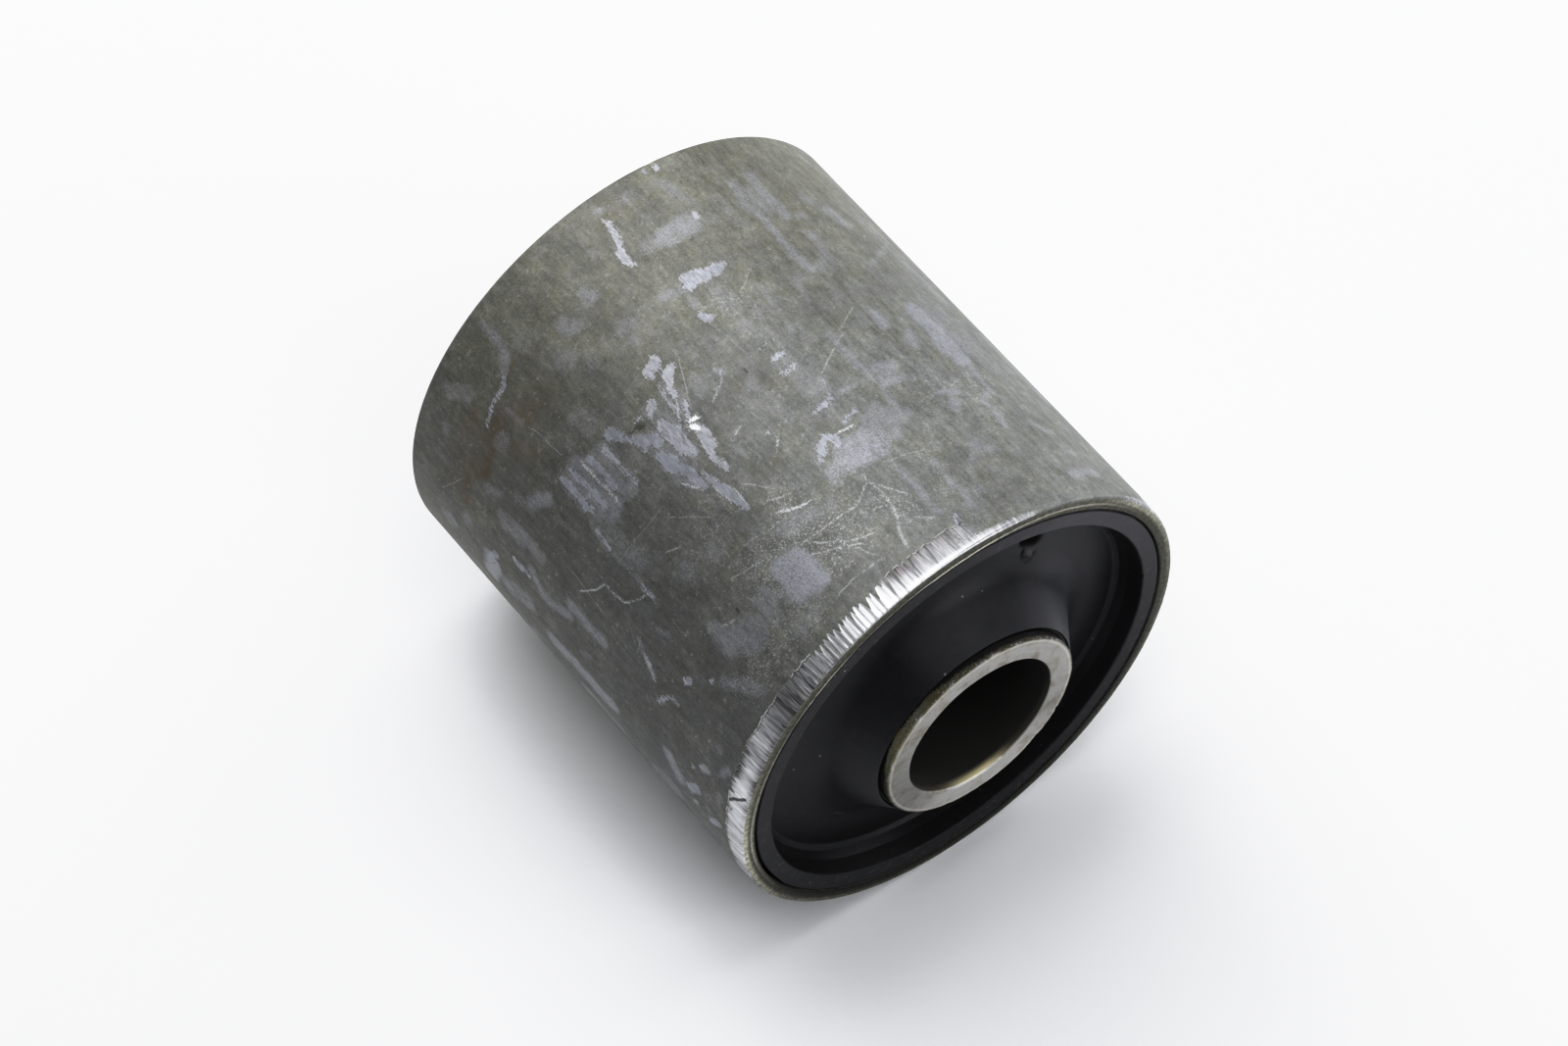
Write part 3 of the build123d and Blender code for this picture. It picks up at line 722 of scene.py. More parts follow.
# ---- the outer sleeve. A lead-in band is filed by hand along its upper end, with dark teeth left at its lower border.
BAND_FROM = [  # height at which the filed metal starts
    (-180, 52.55), (-160, 52.6), (-152, 53.0), (-146, 53.6), (-137, 54.3), (-112, 54.5), (-105.5, 54.2), (-104, 52.9), (-100, 52.6),
    (-94, 52.45), (-89, 52.35), (-80, 52.35), (-72.4, 52.4), (-71.8, 52.5), (-62, 52.6), (-52, 52.6), (-44, 52.62), (-38, 52.6),
    (-35, 52.48), (-31, 52.6), (-26, 52.4), (-14, 52.55), (-9, 52.62), (-2, 52.7), (4, 52.9), (12, 53.2), (20, 52.9), (60, 52.5), (90, 52.9),
    (120, 52.5), (150, 52.7),
]
BAND_TEETH = [  # dark teeth: angle, height above the border, half width in degrees
    (-78.6, 1.5, 0.5), (-77.2, 0.8, 0.4), (-75.0, 1.9, 0.35), (-72.8, 1.8, 0.5), (-71.4, 0.7, 0.4), (-69.5, 1.4, 0.6), (-68.3, 0.6, 0.35),
    (-66.8, 1.5, 0.75), (-65.2, 0.5, 0.4), (-63.8, 0.8, 0.4), (-62.8, 1.1, 0.4), (-61.5, 0.5, 0.4), (-60.6, 0.8, 0.5), (-59.2, 1.0, 0.7),
    (-57.7, 0.8, 0.45), (-56.2, 0.6, 0.5), (-55.1, 0.5, 0.35), (-53.5, 1.0, 0.6), (-52.1, 0.8, 0.6), (-24.8, 1.1, 0.6), (-23.2, 0.4, 0.35),
    (-21.7, 1.05, 0.5), (-19.7, 1.0, 0.45), (-17.8, 0.9, 0.5), (-16.1, 0.6, 0.4), (-13.2, 0.7, 0.5), (-8.0, 0.5, 0.6), (-4.3, 0.4, 0.5), (4.0, 0.6, 0.6),
    (11.0, 0.9, 0.7), (16.5, 0.5, 0.5), (30.0, 1.1, 0.7), (36.0, 0.6, 0.6), (47.0, 1.0, 0.8), (63.0, 0.7, 0.6),
    (71.0, 1.2, 0.9), (104.0, 0.9, 0.7), (118.0, 1.1, 0.8), (127.0, 0.7, 0.6), (141.0, 1.0, 0.7), (168.0, 0.9, 0.7),
]
BAND_SHINE_PAINTED = [  # how bright the filed metal is at mid height: its own bare steel, with painted reflection of the lamps that changes by angle
    (-180, 0.45), (-160, 0.4), (-150, 0.32), (-137, 0.3), (-118, 0.2), (-106, 0.25), (-97, 0.32), (-91, 0.35), (-87, 0.29), (-83, 0.33), (-76, 0.31),
    (-72.6, 0.46), (-71, 0.74), (-67, 0.85), (-63, 0.75), (-59, 0.75), (-55, 0.62), (-51, 0.55), (-47, 0.41), (-43, 0.37), (-39, 0.33), (-37, 0.4),
    (-35, 0.48), (-31, 0.50), (-27, 0.58), (-23, 0.64), (-19, 0.62), (-15, 0.74), (-11, 0.68), (-7, 0.74), (-3, 0.70), (1, 0.66), (5, 0.70),
    (9, 0.65), (13, 0.41), (17, 0.28), (50, 0.5), (70, 0.7), (100, 0.5), (135, 0.75), (160, 0.5),
]
BAND_RISE_PAINTED = [  # painted reflection: how much brighter it gets for each millimetre upwards
    (-180, 0.1), (-106, 0.12), (-97, 0.14), (-91, 0.06), (-79, 0.12), (-75, 0.26), (-70, 0.12), (-66, 0.10), (-62, 0.02), (-50, -0.06), (-44, 0.06),
    (-38, 0.0), (-30, -0.04), (-19, 0.08), (-12, 0.0), (-6, 0.08), (5, 0.08), (20, 0.0), (150, 0.1),
]
BAND_HUMP_PAINTED = [(-180, 0.0), (-28, 0.0), (-23, 0.28), (-19, 0.42), (-15, 0.16), (-10, 0.1), (0, 0.0)]  # painted reflection: how much brighter it is halfway up
BAND_CUT = [  # how deep its file marks are
    (-180, 1.0), (-91, 0.8), (-87, 0.65), (-79, 0.7), (-72, 0.55), (-62, 0.6), (-58, 0.9), (-54, 1.3), (-48, 1.5), (-43, 1.2), (-39, 0.8), (-35, 0.9),
    (-31, 1.2), (-23, 1.3), (-19, 0.9), (-15, 1.0), (-11, 1.0), (0, 0.9), (20, 1.0), (60, 1.4), (150, 1.2),
]
BAND_EDGE_PAINTED_HIGHLIGHT = [  # painted highlight: how much brighter it is along the very edge
    (-180, 0.0), (-107, 0.1), (-97, 0.25), (-91, 0.3), (-87, 0.45), (-79, 0.5), (-75, 0.25), (-70, 0.1), (-45, 0.0), (-35, -0.1), (-31, -0.2), (-27, -0.12),
    (-21, 0.0), (-15, -0.15), (-9, -0.06), (0, -0.05), (6, 0.02), (20, 0.0),
]
BAND_COVER = [  # how much of the skin the file took off there
    (-180, 1.0), (-160, 0.95), (-150, 0.5), (-140, 0.2), (-106, 0.12), (-103, 0.3), (-95, 0.42), (-91, 0.6), (-80, 0.66), (-74, 0.78), (-71.6, 1.2), (150, 1.2),
]
BAND_TOP = [  # how much of it the file took off along the very edge
    (-180, 1.0), (-156, 0.8), (-146, 0.7), (-137, 0.5), (-131, 0.25), (-118, 0.2), (-110, 0.4), (-103, 0.8), (-95, 1.1), (0, 1.2),
]
BAND_BURR = [  # a thin raised line along the border
    (-180, 0.3), (-150, 0.0), (-95, 0.1), (-90, 0.45), (-73, 0.5), (-71.8, 0.0), (-52.4, 0.0), (-51.2, 1.0), (-45.6, 1.0), (-45, 0.1), (-40, 0.2), (-38.4, 0.9),
    (-31, 0.9), (-28, 0.3), (-25.5, 0.5), (-13, 0.2), (-11.4, 0.8), (0, 0.8), (4, 0.4), (20, 0.2), (60, 0.4), (150, 0.4),
]
BAND_DEPTH = [  # how much of the lead-in's taper is there
    (-180, 1.0), (-157, 0.9), (-146, 0.5), (-137, 0.1), (-106, 0.1), (-100, 0.5), (-92, 0.8), (-86, 1.0),
]
RIM_PAINTED_HIGHLIGHT = [  # how strong the painted highlight line along the end face's inner burr is
    (-180, 0.0), (-150, 0.0), (-132, 0.35), (-122, 0.6), (-105, 0.6), (-92, 1.0), (-81, 1.0), (-74, 0.4), (-58, 0.3), (-54, 0.8), (-45, 0.8), (-38, 0.3),
    (-15, 0.4), (5, 0.6), (14, 0.2), (30, 0.0),
]
RIM_AT = [(-180, 23.75), (-130, 24.15), (-115, 24.12), (-100, 23.85), (-90, 23.7), (-60, 23.6), (-30, 23.66), (0, 23.9), (20, 23.8)]  # and its radius
END_PAINTED_LIGHT = [  # painted light and shade: how bright the end face is at its outer and inner side together, by angle
    (-180, 0.95), (-150, 0.9), (-120, 1.12), (-90, 0.98), (-60, 1.05), (-30, 1.05), (0, 1.45), (15, 1.2), (40, 0.72), (60, 0.6), (120, 0.6), (150, 0.8),
]
END_EDGE_PAINTED_HIGHLIGHT = [  # painted highlight: how bright the very edge of it is
    (-180, 1.6), (-165, 2.4), (-150, 3.6), (-140, 3.0), (-130, 1.4), (-115, 1.15), (-90, 1.1), (-60, 1.4), (-30, 1.3), (-10, 2.0), (0, 3.2), (15, 3.0),
    (30, 2.4), (60, 2.2), (90, 1.8), (120, 1.5), (150, 1.8),
]
END_INNER_PAINTED_SHADE = [  # painted shade: how bright its inner side is beside its outer side
    (-180, 0.85), (-150, 0.95), (-120, 1.0), (-60, 0.8), (-30, 0.9), (0, 1.0), (30, 0.5), (50, 0.35), (150, 0.35), (168, 0.7),
]
BAND_DARKS = [(0.26, 1.2, -14.2, 54.5, -12.6, 53.8, -11.2, 53.1, -10.2, 52.75), (0.3, 0.7, -8.2, 53.2, -7.0, 52.95)]


def band_border(th):
    z = lookup(th, BAND_FROM) + bumped(th, BAND_TEETH)
    up = bumped(th, [(-92.8, 0.9, 0.45), (-95.6, 0.35, 0.5)])
    fine = 0.12 * (2 * lattice(th / 360.0, 0 * th, 520, 5) - 1) * np.clip((54.5 - z) / 0.5, 0, 1)
    return z - up + fine + 0.05 * wave(th, 9, (9, 14, 23))


def outer_shape(th, R, Z):
    zb = band_border(th)
    depth = lookup(th, BAND_DEPTH)
    shine = lookup(th, BAND_SHINE_PAINTED)
    outside = np.clip((R - 24.4) / 0.4, 0, 1)
    inband = np.clip((Z - zb) / 0.12, 0, 1)
    # the section carries the full taper already; where the band is shallow or starts higher, metal is put back
    taper = np.clip((Z - 52.4) / 2.6, 0, 1) * 0.1
    wanted = depth * np.clip((Z - zb + 0.25) / 2.6, 0, 1) * 0.1
    facet = 0.6 * (2 * lattice(th / 360.0 - 0.00004 * (Z - 52), 0 * th, 374, 11) - 1)
    facet += 0.4 * (2 * lattice(th / 360.0, Z / 1.3, 760, 12) - 1)
    R = R + outside * (taper - wanted + inband * (0.012 * facet * (0.35 + shine) - 0.012))
    # a small burr pushed up along the border
    R = R + outside * 0.012 * np.exp(-(((Z - zb + 0.06) / 0.08) ** 2)) * (0.4 + lattice(th / 360.0, 0 * th, 300, 13)) * lookup(th, BAND_BURR)
    # nicks in the rounded edge at the lower end
    for at, deep, wide, z0, tall in ((-97.5, 0.11, 0.9, 3.55, 0.75), (-94.0, 0.05, 0.5, 3.3, 0.35), (38.0, 0.07, 0.8, 3.3, 0.5)):
        R = R - outside * deep * np.exp(-(((th - at) / wide) ** 2) - ((Z - z0) / tall) ** 2)
    # the inner edge's burr, and an end face that a saw and a file left not quite flat
    top = np.clip((Z - 54.6) / 0.3, 0, 1)
    inner_edge = np.exp(-(((R - 23.62) / 0.07) ** 2)) * top
    burr = 0.2 + 0.8 * np.maximum(window(th, -90, -81, 2.5), window(th, -57, -44, 3)) + 0.25 * lattice(th / 360.0, 0 * th, 60, 14)
    Z = Z + 0.045 * inner_edge * burr
    Z = Z + top * 0.008 * rough_patch(th, R, 24.2, 0.5, 15)
    return R, Z


def turned_two(name, section, fine, angles, shift):
    """As turned, at the given angles. Section points with fine set use all of them, the others every second one."""
    sec = np.array(section)
    m, n = len(sec), len(angles)
    every = [angles if f else angles[::2] for f in fine]
    start = np.cumsum([0] + [len(a) for a in every])
    T = np.concatenate(every)
    R = np.concatenate([np.full(len(a), r) for a, (r, _) in zip(every, sec)])
    Z = np.concatenate([np.full(len(a), z) for a, (_, z) in zip(every, sec)])
    R, Z = shift(T, R, Z)
    rad = np.radians(T)
    co = np.stack([R * np.cos(rad), R * np.sin(rad), Z], -1) * MM
    quads, tris = [], []
    for j in range(m):
        k = (j + 1) % m
        a, b = start[j], start[k]
        if fine[j] == fine[k]:
            i = np.arange(len(every[j]))
            i2 = (i + 1) % len(i)
            quads.append(np.stack([a + i, a + i2, b + i2, b + i], -1))
            continue
        i = np.arange(n // 2)
        i2 = (i + 1) % (n // 2)
        if fine[k]:
            p, q, e, d, c = a + i, a + i2, b + 2 * i, b + 2 * i + 1, b + 2 * i2
            tris += [np.stack([p, q, d], -1), np.stack([p, d, e], -1), np.stack([q, c, d], -1)]
        else:
            e, d, c, p, q = a + 2 * i, a + 2 * i + 1, a + 2 * i2, b + i, b + i2
            tris += [np.stack([e, d, p], -1), np.stack([d, q, p], -1), np.stack([d, c, q], -1)]
    quads, tris = np.concatenate(quads), np.concatenate(tris)
    area = 0.5 * float(np.sum(sec[:, 0] * np.roll(sec[:, 1], -1) - np.roll(sec[:, 0], -1) * sec[:, 1]))
    if area < 0:
        quads, tris = quads[:, ::-1], tris[:, ::-1]
    corners = np.concatenate([quads.ravel(), tris.ravel()])
    starts = np.concatenate([np.arange(0, quads.size, 4), quads.size + np.arange(0, tris.size, 3)])
    mesh = bpy.data.meshes.new(name)
    mesh.vertices.add(len(co))
    mesh.vertices.foreach_set("co", co.astype(np.float32).ravel())
    mesh.loops.add(len(corners))
    mesh.loops.foreach_set("vertex_index", corners.astype(np.int32))
    mesh.polygons.add(len(starts))
    mesh.polygons.foreach_set("loop_start", starts.astype(np.int32))
    mesh.polygons.foreach_set("use_smooth", np.ones(len(starts), bool))
    mesh.update()
    mesh.validate()
    obj = bpy.data.objects.new(name, mesh)
    scene.collection.objects.link(obj)
    print(name, m, "section points", len(quads) * 2 + len(tris), "triangles")
    return obj, T, np.concatenate([np.full(len(a), z) for a, (_, z) in zip(every, sec)])


outer_corners = [
    (23.5, 3.0), (25.0, 3.0), (25.0, 4.4), (25.0, 51.9), (25.0, 52.2), (24.954, 53.6), (24.915, 54.6), (24.9, 55.0),
    (23.5, 55.0), (23.5, 54.2), (23.5, 53.6),
]
outer_section = rounded(outer_corners, {0: (0.12, 2), 1: (0.3, 5), 7: (0.22, 4), 8: (0.1, 2)})
outer_section = refined(
    outer_section,
    lambda r, z: 60.0 if r < 23.51 else 0.3 if z > 54.9 else 0.16 if 52.19 < z else 0.3 if z > 51.9 else 0.41 if r > 24.9 else 1.0,
)
outer_fine = [z > 51.89 and (r > 23.51 or z > 54.0) for r, z in outer_section]
seen = np.linspace(-166.0, 32.0, 752, endpoint=False)
unseen = np.linspace(32.0, 194.0, 236, endpoint=False)
outer, mark_th, mark_z = turned_two("outer_sleeve_steel", outer_section, outer_fine, np.concatenate([seen, unseen]), outer_shape)
mark_th = (mark_th + 180.0) % 360.0 - 180.0

border = lookup(mark_th, BAND_FROM)
up = np.clip((mark_z - 54.15) / 0.5, 0, 1)
per_vertex(outer, "band_from", band_border(mark_th))
# painted reflection on the filed band: brighter upwards, halfway up and along the edge, by angle
band_painted_reflection_up = lookup(mark_th, BAND_RISE_PAINTED) * (mark_z - 53.7) - lookup(mark_th, BAND_HUMP_PAINTED) * (mark_z - 53.8) ** 2
band_painted_reflection_up = band_painted_reflection_up + lookup(mark_th, BAND_EDGE_PAINTED_HIGHLIGHT) * np.clip((mark_z - 54.4) / 0.3, 0, 1)
per_vertex(outer, "band_metal_and_painted_reflection", lookup(mark_th, BAND_SHINE_PAINTED) + np.where(mark_z > 51.5, band_painted_reflection_up, 0.0))
per_vertex(outer, "band_cut", lookup(mark_th, BAND_CUT))
per_vertex(outer, "band_cover", lookup(mark_th, BAND_COVER) * (1 - up) + np.maximum(lookup(mark_th, BAND_TOP), lookup(mark_th, BAND_COVER)) * up)
per_vertex(outer, "band_burr", lookup(mark_th, BAND_BURR))
per_vertex(outer, "haze", strokes(mark_th, mark_z, HAZY, soft=0.5, uneven=0.5))
edge, strength = blots(mark_th, mark_z, CLEAR, OUTLINES)
per_vertex(outer, "blot_edge", edge)
per_vertex(outer, "blot", strength)
per_vertex(outer, "shade", lookup(mark_th, PAINTED_SIDE_SHADE))
per_vertex(outer, "rim", lookup(mark_th, RIM_PAINTED_HIGHLIGHT))
per_vertex(outer, "rim_at", lookup(mark_th, RIM_AT))
per_vertex(outer, "end_painted_light", lookup(mark_th, END_PAINTED_LIGHT))
per_vertex(outer, "end_edge_painted_highlight", lookup(mark_th, END_EDGE_PAINTED_HIGHLIGHT))
per_vertex(outer, "end_inner_painted_shade", lookup(mark_th, END_INNER_PAINTED_SHADE))
per_vertex(outer, "grit", strokes(mark_th, mark_z, ALL_GRIT, soft=2.0, uneven=1.2, seed=44))
per_vertex(outer, "rust", strokes(mark_th, mark_z, ALL_RUSTY, soft=0.9, uneven=0.9, seed=41))
per_vertex(outer, "dark", strokes(mark_th, mark_z, ALL_DARKS + BAND_DARKS, soft=0.24, uneven=0.12, seed=42))
per_vertex(outer, "dim", strokes(mark_th, mark_z, ALL_DIM, soft=2.2, uneven=1.2, seed=43))
offsets, powers, dropped = line_layers(mark_th, mark_z, ALL_LINES, 4)
print("scratches left out for want of room:", dropped, "of", len(ALL_LINES))
for k in range(4):
    per_vertex(outer, f"line_{k}", offsets[k])
    per_vertex(outer, f"power_{k}", powers[k])


# ---- the rubber. The section is the moulding's own at its upper end, and plain at its lower end.
def end_profile(up):
    pts = [
        (10.75, 1.85), (11.0, 1.85), (11.16, 2.16), (14.9, -3.15), (20.45, -3.15), (20.85, -2.75), (21.2, -1.8),
        (21.5, -0.05), (23.25, -0.05), (23.5, -0.55),
    ]
    return [(r, 55.0 + h) if up else (r, 3.0 - h) for r, h in pts]


rubber_corners = end_profile(True) + end_profile(False)[::-1]
rounds = {1: (0.06, 2), 2: (0.08, 2), 3: (4.0, 12), 4: (0.35, 3), 5: (0.2, 2), 6: (0.3, 2), 7: (0.2, 3), 8: (0.1, 2)}
rounds.update({19 - i: (r, max(2, n // 3)) for i, (r, n) in list(rounds.items())})
rubber_section = rounded(rubber_corners, rounds)
rubber_section = refined(
    rubber_section,
    lambda r, z: 60.0 if 3.7 < z < 51.0 else (0.24 if r < 20.6 else 0.27) if z > 29 else 1.4,
)


def rubber_shape(th, R, Z):
    top = np.clip((Z - 50.0) / 1.0, 0, 1)
    low = np.clip((8.0 - Z) / 1.0, 0, 1)
    x, y = R * np.cos(np.radians(th)), R * np.sin(np.radians(th))

    def at(r, a):
        return r * math.cos(math.radians(a)), r * math.sin(math.radians(a))

    def dent(r, a, wide_r, wide_t, sharp=2.0):
        """1 at a place on the end, 0 away from it; the two widths are radial and tangential half sizes."""
        cx, cy = at(r, a)
        c, s = math.cos(math.radians(a)), math.sin(math.radians(a))
        dr, dt = (x - cx) * c + (y - cy) * s, -(x - cx) * s + (y - cy) * c
        return np.exp(-((np.abs(dr) / wide_r) ** sharp + (np.abs(dt) / wide_t) ** sharp))

    end = top * np.clip((R - 10.9) / 0.1, 0, 1) * np.clip((23.0 - R) / 0.2, 0, 1)
    # the moulding's gate mark: a torn pit with a crescent beside it and a nub left standing, and a second small fleck
    Z = Z - end * 0.95 * dent(17.3, -125.0, 0.66, 0.98, 3.4)
    Z = Z + end * 0.10 * dent(17.3, -125.0, 0.95, 1.35, 4) * (1 - dent(17.3, -125.0, 0.72, 1.05, 4))
    cx, cy = at(16.15, -127.6)
    ring = np.exp(-((np.hypot(x - cx, y - cy) - 1.05) / 0.13) ** 2) * (dent(15.3, -128.2, 0.8, 0.9) > 0.25)
    Z = Z - end * 0.16 * ring
    Z = Z + end * 0.24 * dent(15.7, -128.5, 0.28, 0.34)
    Z = Z + end * 0.16 * dent(16.6, 45.5, 0.16, 0.5)
    Z = Z - end * 0.10 * dent(16.3, 45.0, 0.14, 0.55)
    # a small bite in the lip's inner edge, and a lip that is not quite even
    R = R + end * 0.12 * dent(21.45, -175.6, 0.35, 0.3)
    lip = np.clip((R - 21.2) / 0.3, 0, 1)
    swell = wave(th, 21, (2, 3, 5, 8), (0.5, 0.4, 0.3, 0.2))
    Z = Z + (top - low) * lip * (0.035 * swell + 0.012 * rough_patch(th, R, 22.4, 1.6, 22))
    Z = Z + (top - low) * (1 - lip) * (0.012 * rough_patch(th, R, 16.0, 3.2, 24))
    # where the lip has shrunk away from the sleeve, a crack is open
    crack = np.maximum(window(th, -14, 26, 5), np.maximum(window(th, -124, -99, 6), 0.55 * window(th, -141, -124, 4)))
    crack = np.maximum(crack, 0.7 * window(th, 88, 117, 8)) * (0.75 + 0.25 * lattice(th / 360.0, 0 * th, 90, 23))
    rim = np.clip((R - 22.9) / 0.35, 0, 1) * top
    side = np.clip((R - 23.3) / 0.2, 0, 1) * np.clip((Z - 53.0) / 0.6, 0, 1)
    R = R - rim * crack * 0.13
    Z = Z - side * crack * 0.75
    return R, Z


rubber, rub_th, rub_r, rub_z = turned("rubber_body_moulding", rubber_section, 640, rubber_shape)

LIP_PAINTED_LIGHT = [  # painted light: how bright the lip is, lighter on the side towards the lamps and darker on the side towards the table
    (-180, 0.080), (-165, 0.100), (-150, 0.115), (-120, 0.134), (-105, 0.100), (-90, 0.072), (-60, 0.067), (-30, 0.069), (0, 0.074), (30, 0.050),
    (60, 0.039), (120, 0.039), (150, 0.051),
]
RECESS_PAINTED_LIGHT = [  # painted light, bounce and sheen in the recess, as a factor: angle, on its cone, on its floor
    (-180, 2.3, 1.1), (-165, 3.4, 1.3), (-150, 2.9, 1.4), (-135, 1.8, 1.4), (-120, 1.35, 1.2), (-105, 1.6, 1.1), (-90, 1.9, 1.0), (-75, 1.3, 0.95),
    (-60, 1.0, 0.95), (-45, 1.4, 1.0), (-30, 1.05, 1.2), (-15, 1.3, 1.3), (0, 1.5, 1.15), (15, 1.6, 1.0), (30, 1.7, 0.8), (45, 1.5, 0.8), (60, 1.2, 0.9),
    (120, 1.3, 1.2), (160, 1.6, 1.2),
]
LIP_LINE = [(-180, 0.0), (-74, 0.0), (-64, 1.0), (-52, 1.0), (-42, 0.3), (-30, 0.0)]  # a bright line left on the lip's outer edge
per_vertex(rubber, "lip_line", lookup(rub_th, LIP_LINE))
per_vertex(rubber, "lip_painted_light", lookup(rub_th, LIP_PAINTED_LIGHT))
cone, pit = lookup(rub_th, [q[:2] for q in RECESS_PAINTED_LIGHT]), lookup(rub_th, [q[::2] for q in RECESS_PAINTED_LIGHT])
part = np.clip((rub_r - 14.0) / 2.5, 0, 1)
per_vertex(rubber, "recess_painted_light", cone * (1 - part) + pit * part)


def spot(r, a, wide_r, wide_t, sharp=2.0):
    """1 at a place on the rubber's upper end, 0 away from it."""
    dr, dt = np.abs(rub_r - r), np.abs(np.radians(rub_th - a) * r)
    return np.exp(-((dr / wide_r) ** sharp + (dt / wide_t) ** sharp)) * (rub_z > 40)


gate = np.maximum(0.9 * spot(17.2, -125.8, 0.75, 1.45, 3.0), np.maximum(0.75 * spot(15.8, -124.5, 0.7, 0.26), 0.5 * spot(15.35, -126.3, 0.26, 0.5)))
per_vertex(rubber, "gate", gate - spot(15.8, -127.9, 0.36, 0.4))  # painted shade in the gate mark's pit, pale on its nub


# ---- the inner sleeve, with its outer edge chipped and its bore's edge broken unevenly
def inner_shape(th, R, Z):
    up = np.clip((Z - 50.0) / 1.0, 0, 1)
    end = np.clip((Z - 56.6) / 0.5, 0, 1)
    low = np.clip((1.4 - Z) / 0.5, 0, 1)
    worn = 0.35 + 0.65 * np.maximum(window(th, -105, -8, 8), window(th, 130, 165, 10))
    chips = np.clip(rough_patch(th, Z + R, 10.75, 0.9, 31) * 1.4 - 0.15, 0, 1)
    chips2 = np.clip(rough_patch(th, Z + R, 10.75, 0.35, 33), 0, 1)
    edge = np.clip((R - 10.2) / 0.45, 0, 1)
    bite = (end + low) * worn * edge * (0.14 * chips + 0.05 * chips2)
    Z = Z - np.sign(Z - 29) * bite * np.clip((np.abs(Z - 29) - 28.4) / 0.5, 0, 1)
    R = R - bite * 0.8 * np.clip((np.abs(Z - 29) - 27.9) / 0.9, 0, 1)
    # the break at the bore: wide from 50 to 113 degrees, narrow elsewhere
    wide = 0.10 + 0.42 * window(th, 74, 108, 14) + 0.16 * window(th, 111, 178, 5) + 0.10 * lattice(th / 360.0, 0 * th, 34, 35)
    hole = np.clip((8.62 - R) / 0.5, 0, 1)
    deep = np.clip((Z - 57.4) / 0.6, 0, 1)
    R = R + up * hole * deep * 0.55 * wide
    Z = Z - up * hole * np.clip((R - 8.1) / 0.4, 0, 1) * 0.22 * wide
    # turning marks and slight waves on the end faces
    face = np.clip((np.abs(Z - 29) - 28.75) / 0.2, 0, 1) * np.clip((R - 8.5) / 0.2, 0, 1) * np.clip((10.55 - R) / 0.15, 0, 1)
    Z = Z + np.sign(Z - 29) * face * 0.010 * rough_patch(th, R, 9.4, 0.55, 37)
    return R, Z


inner_corners = [
    (10.75, 0.0), (10.75, 0.9), (10.75, 57.0), (10.75, 58.0), (8.17, 58.0), (8.1, 57.93), (8.1, 56.6), (8.1, 1.2), (8.1, 0.25),
    (8.35, 0.0),
]
inner_section = rounded(inner_corners, {0: (0.15, 3), 3: (0.16, 4), 4: (0.02, 2), 5: (0.02, 2), 8: (0.08, 2), 9: (0.08, 2)})
inner_section = refined(
    inner_section,
    lambda r, z: (0.1 if r > 10.7 else 0.15) if z > 56.6 else 0.3 if z < 0.95 else 60.0 if r > 10 else 6.0,
)
inner, in_th, in_r, in_z = turned("inner_sleeve_steel", inner_section, 1000, inner_shape)

RING_PAINTED_LIGHT = [  # painted light and shade: how bright the end face is, by angle
    (-180, 0.80), (-150, 0.80), (-120, 0.80), (-90, 0.84), (-60, 0.86), (-30, 0.78), (0, 0.64), (30, 0.58), (50, 0.76), (60, 0.95), (90, 1.0),
    (120, 1.02), (140, 0.86), (150, 0.72), (160, 0.76),
]
SIDE = [  # how bright the rough outer edge is
    (-180, 0.4), (-145, 0.2), (-120, 0.26), (-95, 0.34), (-82, 0.4), (-70, 0.55), (-60, 0.64), (-45, 0.9), (-30, 1.3), (-15, 1.0), (0, 0.5), (20, 0.25),
    (120, 0.4),
]
SKIN = [  # height above which that edge is free of rubber
    (-180, 57.5), (-150, 57.6), (-120, 57.6), (-90, 57.62), (-78, 57.5), (-66, 57.3), (-60, 57.15), (-30, 56.9), (-18, 57.1), (-5, 57.45), (20, 57.5),
    (120, 57.4),
]
BORE_PAINTED_GLINT = [  # painted glint: how bright the bore is just inside its edge, where it reflects a lamp
    (-180, 0.05), (-30, 0.03), (40, 0.10), (55, 0.14), (65, 0.35), (75, 0.8), (85, 1.0), (100, 1.0), (108, 0.7), (118, 0.25), (130, 0.12), (160, 0.08),
]
per_vertex(inner, "skin_to", lookup(in_th, SKIN) - 29.0)
per_vertex(inner, "bore_painted_glint", lookup(in_th, BORE_PAINTED_GLINT))
per_vertex(inner, "ring_painted_light", lookup(in_th, RING_PAINTED_LIGHT))
per_vertex(inner, "side_tone", lookup(in_th, SIDE))


# ------------------------------------------------------------------ materials
def attribute(g, name):
    n = g.node("ShaderNodeAttribute", attribute_type="GEOMETRY", attribute_name=name)
    return Val(g, n.outputs["Fac"])


g = Graph("outer_steel")
p, angle, arc, r, z = g.coords()
flat = g.xyz(arc, z, r)
mottle = g.noise(p, 0.35, 5, 0.85)
other = g.noise(g.vmath("ADD", p, (31.0, 7.0, 19.0)), 0.35, 4, 0.82)
grain = g.noise(p, 5.5, 2, 0.7)
fine = g.noise(g.vmath("ADD", p, (3.0, 17.0, 5.0)), 11.0, 1, 0.5)
down = g.noise(g.vmath("MULTIPLY", flat, (1.5, 0.32, 1.0)), 1.0, 4, 0.8)
streaky = g.noise(g.vmath("MULTIPLY", flat, (4.6, 0.9, 1.0)), 1.0, 2, 0.7)

